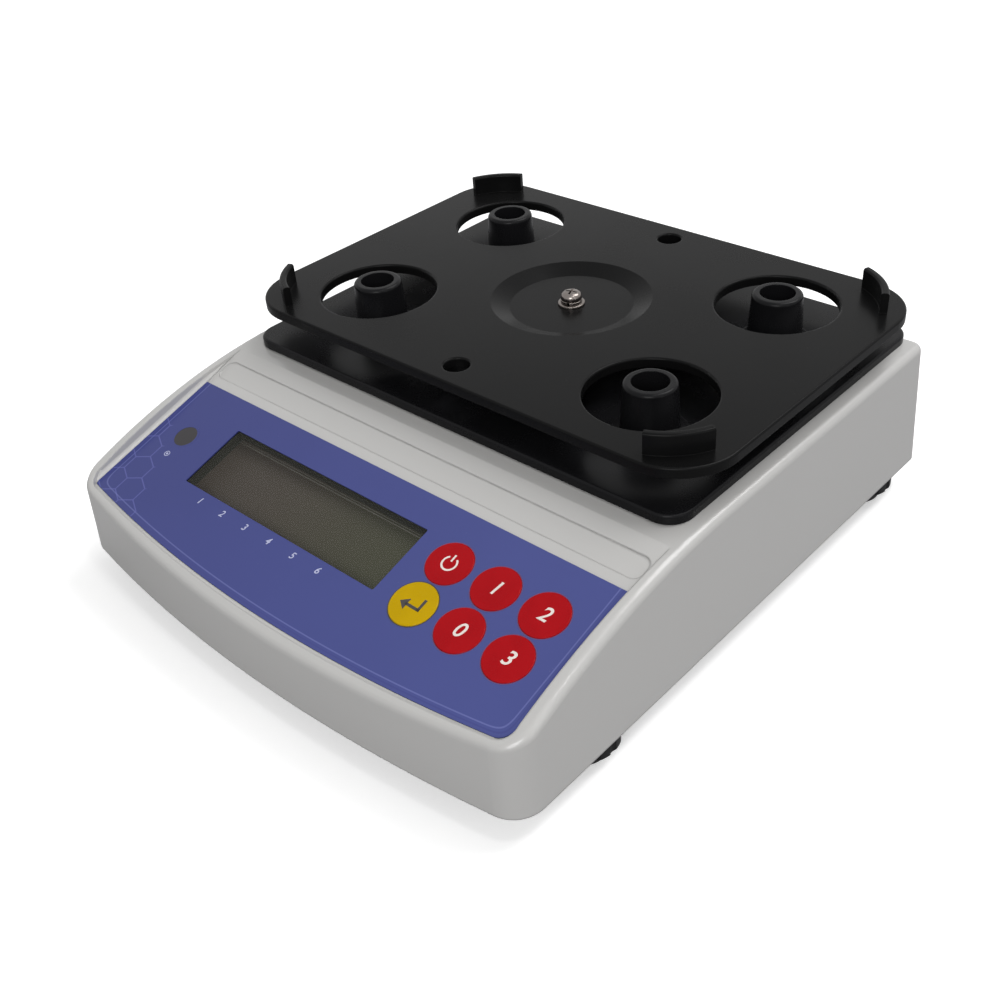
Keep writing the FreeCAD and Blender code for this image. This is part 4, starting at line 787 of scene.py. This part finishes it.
border = cut_with(
    block(lens_high.x - lens_low.x - 0.2, lens_high.y - lens_low.y - 0.2, 0.05, border_middle),
    block(shroud_width - 0.3, shroud_depth - 0.3, 2.0, border_middle),
)
as_piece("lens_border", border, shroud_dark, "housing", panel_place)
# Painted highlight: the two strips are coloured lighter than the glass where the stack's edge catches the light.
edge_light = new_finish("edge_light", (0.16, 0.155, 0.13), 0.25, pebble=0.6, grain_depth=0.002, cloud=8.0, dust=0.1)
for index, (setback, width) in enumerate(((0.75, 0.22), (1.55, 0.3))):
    strip_middle = ((window_left + window_right) / 2, window_back - setback, glass_top + 0.12)
    strip = block(window_right - window_left, width, 0.24, strip_middle, edge=0.08)
    as_piece(f"display_edge_{index + 1}", strip, edge_light, "housing", panel_place)

# %% [markdown]
# The level is a small cup of liquid under its own hole in the film. A smoked disc closes the
# hole a hair below the film, and a border printed in the film's blue hides its rim. Through it
# one faintly sees the pool, a printed ring, and the bubble, which is a flat lens of air pressed
# against the cover. The bubble's section is spun round the upright axis of the cup, because it
# stands level whatever the panel does, and the disc's round the panel's own normal.

# %% Bubble level
cup_low, cup_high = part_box("level_cup")
liquid_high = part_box("level_liquid")[1]
cup_middle = (cup_low + cup_high) / 2
bubble_glass = new_finish(
    "bubble_glass", (0.30, 0.31, 0.30), 0.08, pebble=1.0, grain_depth=0.001, dust=0.0, variation=0.02, Alpha=0.35
)
bubble_profile = [(0, -0.42), (0.7, -0.36), (1.15, -0.22), (1.42, 0.0), (1.42, 0.12), (1.2, 0.27)]
bubble_profile += [(0.7, 0.34), (0, 0.35)]
bubble_place = Matrix.Translation((cup_middle.x, cup_middle.y, liquid_high.z))
as_piece("level_bubble", spin_profile(bubble_profile), bubble_glass, "housing", bubble_place)
level_ring = ring_stroke(1.9, 0.22, 0, 360)
ring_place = Matrix.Translation((cup_middle.x, cup_middle.y, liquid_high.z + 0.05 * MM))
as_piece("level_ring", level_ring, mark_dark, "housing", ring_place)
level_right, level_up = 13.7 - film_half / MM, -21.4
smoked_glass = new_finish(
    "smoked_glass", (0.046, 0.043, 0.046), 0.12, pebble=1.5, grain_depth=0.0005, dust=0.02, variation=0.04,
    Alpha=0.93, Specular_IOR_Level=0.2,
)
disc_radius = 4.75
disc_profile = [(0, -0.6), (disc_radius - 0.15, -0.6), (disc_radius, -0.5), (disc_radius, -0.2)]
disc_profile += [(disc_radius - 0.14, -0.08), (disc_radius - 0.5, -0.05), (disc_radius * 0.5, -0.03), (0, -0.02)]
as_piece(
    "level_window", spin_profile(disc_profile, steps=64), smoked_glass, "housing",
    on_panel(level_right, level_up, film_top),
)
level_border = ring_stroke(4.46, 0.68, 0, 360, steps=64)
as_piece(
    "level_border", level_border, panel_film, "housing",
    on_panel(level_right, level_up, film_top - 0.025),
)
target = join_shapes(ring_stroke(0.95, 0.26, 0, 360), ring_stroke(0.22, 0.4, 0, 360, steps=24))
as_piece("level_mark", target, mark_pale, "housing", on_panel(level_right, level_up - 8.4, film_top))

# %% [markdown]
# All the screws are pan heads with a cross recess. The head and the thread are one profile spun
# round the axis, where the thread is a row of ridges, and the recess is two tapered blades cut
# out of the head, as a punch would press it.


# %% Pan-head screws
def cross_blade(reach, width, depth, top, turn):
    """One tapered blade of the punch that makes a cross recess, in millimetres."""
    blade = bmesh.new()
    bmesh.ops.create_cube(blade, size=1.0)
    bmesh.ops.scale(blade, vec=Vector((2 * reach, width, depth)) * MM, verts=blade.verts)
    bmesh.ops.translate(blade, vec=(0, 0, (top - depth / 2) * MM), verts=blade.verts)
    tip = [vert for vert in blade.verts if vert.co.z < (top - depth / 2) * MM]
    bmesh.ops.scale(blade, vec=(0.35, 0.7, 1.0), verts=tip)
    bmesh.ops.rotate(blade, cent=(0, 0, 0), matrix=Matrix.Rotation(turn, 3, "Z"), verts=blade.verts)
    return blade


def pan_screw(head, rise, shank, length, pitch=0.7, turn=0.3):
    """A screw whose head rests on z = 0 and points up, in millimetres."""
    profile = [(0, -length), (shank * 0.7, -length), (shank * 0.86, -length + shank * 0.4)]
    level = -length + shank * 0.6
    while level < -pitch * 1.5:
        profile += [(shank * 0.86, level), (shank, level + pitch * 0.5)]
        level += pitch
    profile += [(shank * 0.86, -pitch * 0.6), (shank * 0.86, 0), (head * 0.97, 0), (head, rise * 0.06)]
    profile += [(head, rise * 0.34), (head * 0.965, rise * 0.55), (head * 0.87, rise * 0.76)]
    profile += [(head * 0.68, rise * 0.92), (head * 0.4, rise * 0.99), (0, rise)]
    screw = spin_profile(profile)
    for angle in (turn, turn + math.pi / 2):
        screw = cut_with(screw, cross_blade(head * 0.62, head * 0.2, rise * 0.75, rise * 1.02, angle))
    return screw


# %% [markdown]
# The plate's own screw sits in the dish with a flat washer and a spring washer under its head.
# The flat washer is punched, so one rim is rounded. The spring washer is a square section spun
# along a slight helix, with a cut between its ends.

# %% Screw and washers of the plate
screw_low, screw_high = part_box("plate_screw")
flat_low, flat_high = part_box("flat_washer")
spring_low, spring_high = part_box("spring_washer")
dish_middle = Matrix.Translation(((screw_low.x + screw_high.x) / 2, (screw_low.y + screw_high.y) / 2, 0))
head_level = spring_high.z / MM
screw_length = (spring_high.z - screw_low.z) / MM
plate_screw = pan_screw(3.5, screw_high.z / MM - head_level, 1.97, screw_length)
piece = as_piece(
    "plate_screw_detail", plate_screw, screw_steel, "platform",
    dish_middle @ Matrix.Translation((0, 0, head_level * MM)),
)
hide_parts("plate_screw")
flat_level, flat_top = flat_low.z / MM, flat_high.z / MM
flat_profile = [
    (2.15, flat_level), (4.42, flat_level), (4.5, flat_level + 0.08), (4.5, flat_top - 0.3), (4.42, flat_top - 0.1),
    (4.24, flat_top), (2.25, flat_top), (2.15, flat_top - 0.1),
]
piece = as_piece(
    "flat_washer_detail", spin_profile(flat_profile, closed=True), screw_steel, "platform", dish_middle
)
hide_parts("flat_washer")
spring = bmesh.new()
spring_level, spring_rise = spring_low.z / MM, 0.15
spring_height = (spring_high.z - spring_low.z) / MM - spring_rise
corners = [(2.12, 0.05), (2.17, 0), (3.5, 0), (3.6, 0.1), (3.6, spring_height - 0.1), (3.5, spring_height)]
corners += [(2.17, spring_height), (2.12, spring_height - 0.05)]
section = spring.faces.new([spring.verts.new((x * MM, 0, (spring_level + z) * MM)) for x, z in corners])
spring_steps = 44
bmesh.ops.rotate(spring, cent=(0, 0, 0), matrix=Matrix.Rotation(math.radians(-60), 3, "Z"), verts=spring.verts)
bmesh.ops.spin(
    spring, geom=[section], cent=(0, 0, 0), axis=(0, 0, 1), dvec=(0, 0, spring_rise * MM / spring_steps),
    angle=math.radians(346), steps=spring_steps,
)
bmesh.ops.holes_fill(spring, edges=spring.edges[:], sides=0)
piece = as_piece("spring_washer_detail", spring, screw_steel, "platform", dish_middle)
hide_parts("spring_washer")
print("plate screw", round(screw_length, 2), "mm under its head")

# %% [markdown]
# The two small holes near the plate's front and back edges hold the pins of a measuring frame.
# Sheet this thin can't keep a pin upright, so a short bush stands under each hole, with the same
# bore. It is also why the holes look black from above: the view through them is cut off.

# %% Bushes of the pin holes
plate_low, plate_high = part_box("weighing_plate")
plate_under = plate_low.z / MM + 2.5  # the dish is 2.5 mm deep
pin_inset = 9.4
bush_bore, bush_radius, bush_depth, chamfer = 4.15, 6.0, 3.6, 0.3
bush_profile = [(bush_bore, 0.05), (bush_radius, 0.05), (bush_radius, chamfer - bush_depth)]
bush_profile += [(bush_radius - chamfer, -bush_depth), (bush_bore + chamfer, -bush_depth)]
bush_profile.append((bush_bore, chamfer - bush_depth))
for name, level in (("front", plate_low.y + pin_inset * MM), ("back", plate_high.y - pin_inset * MM)):
    as_piece(
        f"pin_bush_{name}", spin_profile(bush_profile, closed=True), plate_black, "platform",
        Matrix.Translation(((plate_low.x + plate_high.x) / 2, level, plate_under * MM)),
    )

# %% [markdown]
# The other screws repeat the same design at their own sizes. Each set is one object, as its
# solid is, and takes its places from that solid's box: the tray's screws stand in the posts,
# and those of the case and the load cell point up from under the cover.

# %% Screws of the tray, the case and the load cell
HEAD_SHARE, RISE_SHARE = 1.8, 1.1  # a pan head's radius and height for a shank's radius


def screw_set(name, node, shank, places, up):
    """Screws at given places that replace one solid. Up says that the heads are on top."""
    low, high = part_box(node)
    head, rise = shank * HEAD_SHARE, shank * RISE_SHARE
    length = (high.z - low.z) / MM - rise
    level = high.z - rise * MM if up else low.z + rise * MM
    flip = Matrix.Identity(4) if up else Matrix.Rotation(math.pi, 4, "X")
    shapes = []
    for index, (x, y) in enumerate(places):
        screw = pan_screw(head, rise, shank * 0.99, length, turn=0.4 + 0.9 * index)
        bmesh.ops.transform(screw, matrix=Matrix.Translation((x, y, level)) @ flip, verts=screw.verts)
        shapes.append(screw)
    piece = as_piece(name, join_shapes(*shapes), screw_steel, "housing")
    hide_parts(node)
    print(name, len(places), "screws of", round(length, 1), "mm")


post_middles = []
for corner in ("front_left", "front_right", "back_left", "back_right"):
    low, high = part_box(f"post_{corner}")
    post_middles.append(((low.x + high.x) / 2, (low.y + high.y) / 2))
screw_set("tray_screw_set", "tray_screws", 2.0, post_middles, True)
low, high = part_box("case_screws")
inset = 1.5 * HEAD_SHARE * MM
case_places = [(x, y) for x in (low.x + inset, high.x - inset) for y in (low.y + inset, high.y - inset)]
screw_set("case_screw_set", "case_screws", 1.5, case_places, False)
low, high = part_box("cell_screws")
inset = 2.5 * HEAD_SHARE * MM
screw_set("cell_screw_set", "cell_screws", 2.5, [(0, low.y + inset), (0, high.y - inset)], False)

# %% [markdown]
# The data port in the back is a nine-way socket: a plated flange, a D-shaped shell that stands
# out of it, and a black block with nine holes inside the shell. The D is one outline of four
# corners with rounded ends. The shell is that outline extruded, and its mouth is inset and
# pushed back in, so the wall has its real thickness.


# %% Data port
def d_outline(width, height, slant, corner):
    """The outline of the port's shell as one face that looks along +Y, in millimetres."""
    shape = bmesh.new()
    points = [(-width / 2, height / 2), (width / 2, height / 2), (width / 2 - slant, -height / 2)]
    points.append((-width / 2 + slant, -height / 2))
    shape.faces.new([shape.verts.new((x * MM, 0, z * MM)) for x, z in points])
    bmesh.ops.bevel(
        shape, geom=shape.verts[:], offset=corner * MM, segments=5, profile=0.5, affect="VERTICES", material=-1
    )
    return shape


def push_out(shape, depth):
    """Extrude a flat outline along +Y into a closed solid, and give back its front face."""
    extrude_by(shape, shape.faces[:][0], (0, depth, 0))
    bmesh.ops.holes_fill(shape, edges=shape.edges[:], sides=0)
    bmesh.ops.recalc_face_normals(shape, faces=shape.faces)
    shape.faces.ensure_lookup_table()
    return max(shape.faces, key=lambda part: part.calc_center_median().y)


port_low, port_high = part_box("serial_port")
bay_floor = port_high.y - 5.4 * MM
port_place = Matrix.Translation(((port_low.x + port_high.x) / 2, bay_floor, (port_low.z + port_high.z) / 2))
shell_depth = 4.6
shell = d_outline(17.0, 8.6, 1.2, 1.6)
mouth = push_out(shell, 5.35)
bmesh.ops.inset_region(shell, faces=[mouth], thickness=0.45 * MM)
mouth = max(shell.faces, key=lambda part: (part.calc_center_median().y, part.calc_area()))
extrude_by(shell, mouth, (0, -shell_depth, 0))
bmesh.ops.delete(shell, geom=[mouth], context="FACES")
flange = block(31.0, 0.9, 12.5, (0, 0.45, 0), edge=0.18)
port_metal = join_shapes(flange, shell)
piece = as_piece("data_port_metal", port_metal, connector_metal, "housing", port_place)
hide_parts("serial_port")
insulator = d_outline(16.0, 7.6, 1.15, 1.2)
push_out(insulator, shell_depth)
pin_pitch, row_off = 2.75, 1.42
pin_places = [(-5.5 + pin_pitch * index, row_off) for index in range(5)]
pin_places += [(-4.1 + pin_pitch * index, -row_off) for index in range(4)]
drills = bmesh.new()
for x, z in pin_places:
    drill_place = Matrix.Translation(Vector((x, shell_depth, z)) * MM) @ Matrix.Rotation(math.pi / 2, 4, "X")
    bmesh.ops.create_cone(
        drills, cap_ends=True, segments=20, radius1=0.62 * MM, radius2=0.62 * MM, depth=6.0 * MM, matrix=drill_place
    )
insulator = cut_with(insulator, drills)
as_piece("data_port_insulator", insulator, connector_black, "housing", port_place)
print("data port", len(pin_places), "contacts")

# %% [markdown]
# Two hexagon nuts hold the port. Their outer rim is chamfered and each has a threaded hole for
# the screw of a plug. The power inlet gets its bright middle pin, which slips over the moulded
# one.

# %% Nuts of the port, pin of the inlet
nut_low, nut_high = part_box("serial_screws")
nuts = []
for x in (nut_low.x + 2.4 * MM, nut_high.x - 2.4 * MM):
    nut = bmesh.new()
    bmesh.ops.create_cone(nut, cap_ends=True, segments=6, radius1=2.38 * MM, radius2=2.38 * MM, depth=4.6 * MM)
    rim = [edge for edge in nut.edges if min(vert.co.z for vert in edge.verts) > 2.2 * MM]
    bmesh.ops.bevel(nut, geom=rim, offset=0.3 * MM, segments=2, profile=0.5, affect="EDGES", material=-1)
    thread = [(0, -1.6)]
    level = -1.6
    while level < 2.4:
        thread += [(1.2, level), (1.42, level + 0.3)]
        level += 0.6
    thread += [(1.55, 2.6), (0, 2.6)]
    nut = cut_with(nut, spin_profile(thread, steps=32))
    middle = ((nut_high.y + nut_low.y) / 2, (nut_high.z + nut_low.z) / 2)
    turn = Matrix.Translation((x, *middle)) @ Matrix.Rotation(-math.pi / 2, 4, "X")
    bmesh.ops.transform(nut, matrix=turn, verts=nut.verts)
    nuts.append(nut)
piece = as_piece("data_port_nuts", join_shapes(*nuts), screw_steel, "housing")
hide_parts("serial_screws")
socket_low, socket_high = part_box("power_socket")
inlet_middle = Vector(((socket_low.x + socket_high.x) / 2, 0, (socket_low.z + socket_high.z) / 2))
inlet_place = Matrix.Translation(inlet_middle) @ Matrix.Rotation(-math.pi / 2, 4, "X")
pin_tip, pin_root = socket_high.y / MM - 1.2, socket_high.y / MM - 8.8
pin_radius = 1.13
pin_profile = [(0, pin_root), (pin_radius, pin_root), (pin_radius, pin_tip - 0.5), (0.95, pin_tip - 0.15)]
pin_profile += [(0.6, pin_tip), (0, pin_tip)]
as_piece(
    "inlet_pin", spin_profile(pin_profile, steps=32), connector_metal, "housing", inlet_place
)
print("inlet", [round(value / MM, 2) for value in (*socket_low, *socket_high)])

# %% [markdown]
# The room is a plain one: a pale floor at the height of the feet and a white world. The camera
# sees both as white, by Light Path, so that the picture's background is white while the light on
# the meter stays at a plain level. Gloss and glass see the white too. The floor's own white grows
# with the distance from the meter: near it the shadow is kept, and the far edge doesn't show.

# %% Floor and world
floor_shape = bmesh.new()
bmesh.ops.create_grid(floor_shape, x_segments=8, y_segments=8, size=3.0)
bmesh.ops.translate(floor_shape, vec=(0, 0, -0.02 * MM), verts=floor_shape.verts)
floor_mesh = bpy.data.meshes.new("floor")
floor_shape.to_mesh(floor_mesh)
floor_shape.free()
floor = bpy.data.objects.new("floor", floor_mesh)
bpy.context.scene.collection.objects.link(floor)
floor_finish = bpy.data.materials.new("floor_pale")
floor_finish.use_nodes = True
tree = floor_finish.node_tree
shader = tree.nodes["Principled BSDF"]
shader.inputs["Roughness"].default_value = 0.9
light_path = tree.nodes.new("ShaderNodeLightPath")
pale = blend_colour(tree, light_path.outputs["Is Camera Ray"], (0.42, 0.42, 0.43, 1.0), (0.98, 0.98, 0.98, 1.0))
tree.links.new(pale, shader.inputs["Base Color"])
shader.inputs["Specular IOR Level"].default_value = 0.1
shader.inputs["Emission Strength"].default_value = 1.0
where = tree.nodes.new("ShaderNodeTexCoord").outputs["Object"]
away = add_node(tree, "ShaderNodeVectorMath", "distance from the meter", i0=where)
away.operation = "LENGTH"
whiter = fade(tree, away.outputs["Value"], 0.30, 0.80, 0.30, 1.0)
glow = calculate(tree, "MULTIPLY", whiter, light_path.outputs["Is Camera Ray"])
tree.links.new(glow, shader.inputs["Emission Color"])
floor_mesh.materials.append(floor_finish)

world = bpy.data.worlds.new("studio")
bpy.context.scene.world = world
world.use_nodes = True
tree = world.node_tree
background = tree.nodes["Background"]
light_path = tree.nodes.new("ShaderNodeLightPath")
seen = calculate(tree, "MAXIMUM", light_path.outputs["Is Camera Ray"], light_path.outputs["Is Transmission Ray"])
seen = calculate(tree, "MAXIMUM", seen, light_path.outputs["Is Glossy Ray"])
level = calculate(tree, "MULTIPLY_ADD", seen, 0.62)
level.node.inputs[2].default_value = 0.38
background.inputs["Color"].default_value = (1.0, 1.0, 1.0, 1.0)
tree.links.new(level, background.inputs["Strength"])

# %% [markdown]
# Four soft lamps stand in for the studio: the main one above and behind on the right, so that the
# top is brightest and the right wall lightens towards the back, a second one at the front right,
# to which the bowed front turns its right half, a long strip that draws the thin highlights along
# the rounded lips of the housing, and a small one overhead that shines in the hollow foot.


# %% Lamps
def soft_lamp(name, place, aim, width, height, power):
    """A rectangular area lamp that faces a point. Places are in metres and power in watts."""
    lamp = bpy.data.lights.new(name, "AREA")
    lamp.shape = "RECTANGLE"
    lamp.size, lamp.size_y = width, height
    lamp.energy = power
    holder = bpy.data.objects.new(name, lamp)
    holder.location = place
    holder.rotation_euler = (Vector(aim) - Vector(place)).to_track_quat("-Z", "Y").to_euler()
    bpy.context.scene.collection.objects.link(holder)


soft_lamp("main_lamp", (0.35, 0.75, 1.3), (0, 0, 0.05), 0.8, 0.8, 12.6)
soft_lamp("front_lamp", (0.62, -1.0, 0.75), (0, 0, 0.04), 0.6, 0.6, 8.0)
soft_lamp("small_lamp", (0.52, -0.09, 1.30), (-0.09, -0.07, 0.045), 0.16, 0.16, 1.6)
soft_lamp("strip_lamp", (1.25, -0.15, 0.55), (0.05, 0, 0.05), 0.12, 1.2, 1.0)

# %% [markdown]
# The camera stands where the photograph's did: in front, to the right and well above, at less
# than half a metre. Its three directions are given as columns, so that no rounding creeps in
# through angles.

# %% Camera
camera = bpy.data.objects.new("camera", bpy.data.cameras.new("camera"))
bpy.context.scene.collection.objects.link(camera)
bpy.context.scene.camera = camera
camera.data.sensor_width = 36.0
camera.data.lens = 43.69
camera.data.clip_start = 0.01
to_right = (0.74000896, 0.6694034, -0.06546626)
to_top = (-0.35615175, 0.47255495, 0.80613135)
to_back = (0.57056347, -0.57322849, 0.58810409)
stand = (0.23547, -0.23658, 0.25430)
camera.matrix_world = Matrix(tuple(zip(to_right, to_top, to_back, stand))).to_4x4()
bpy.context.scene.view_settings.view_transform = "Standard"
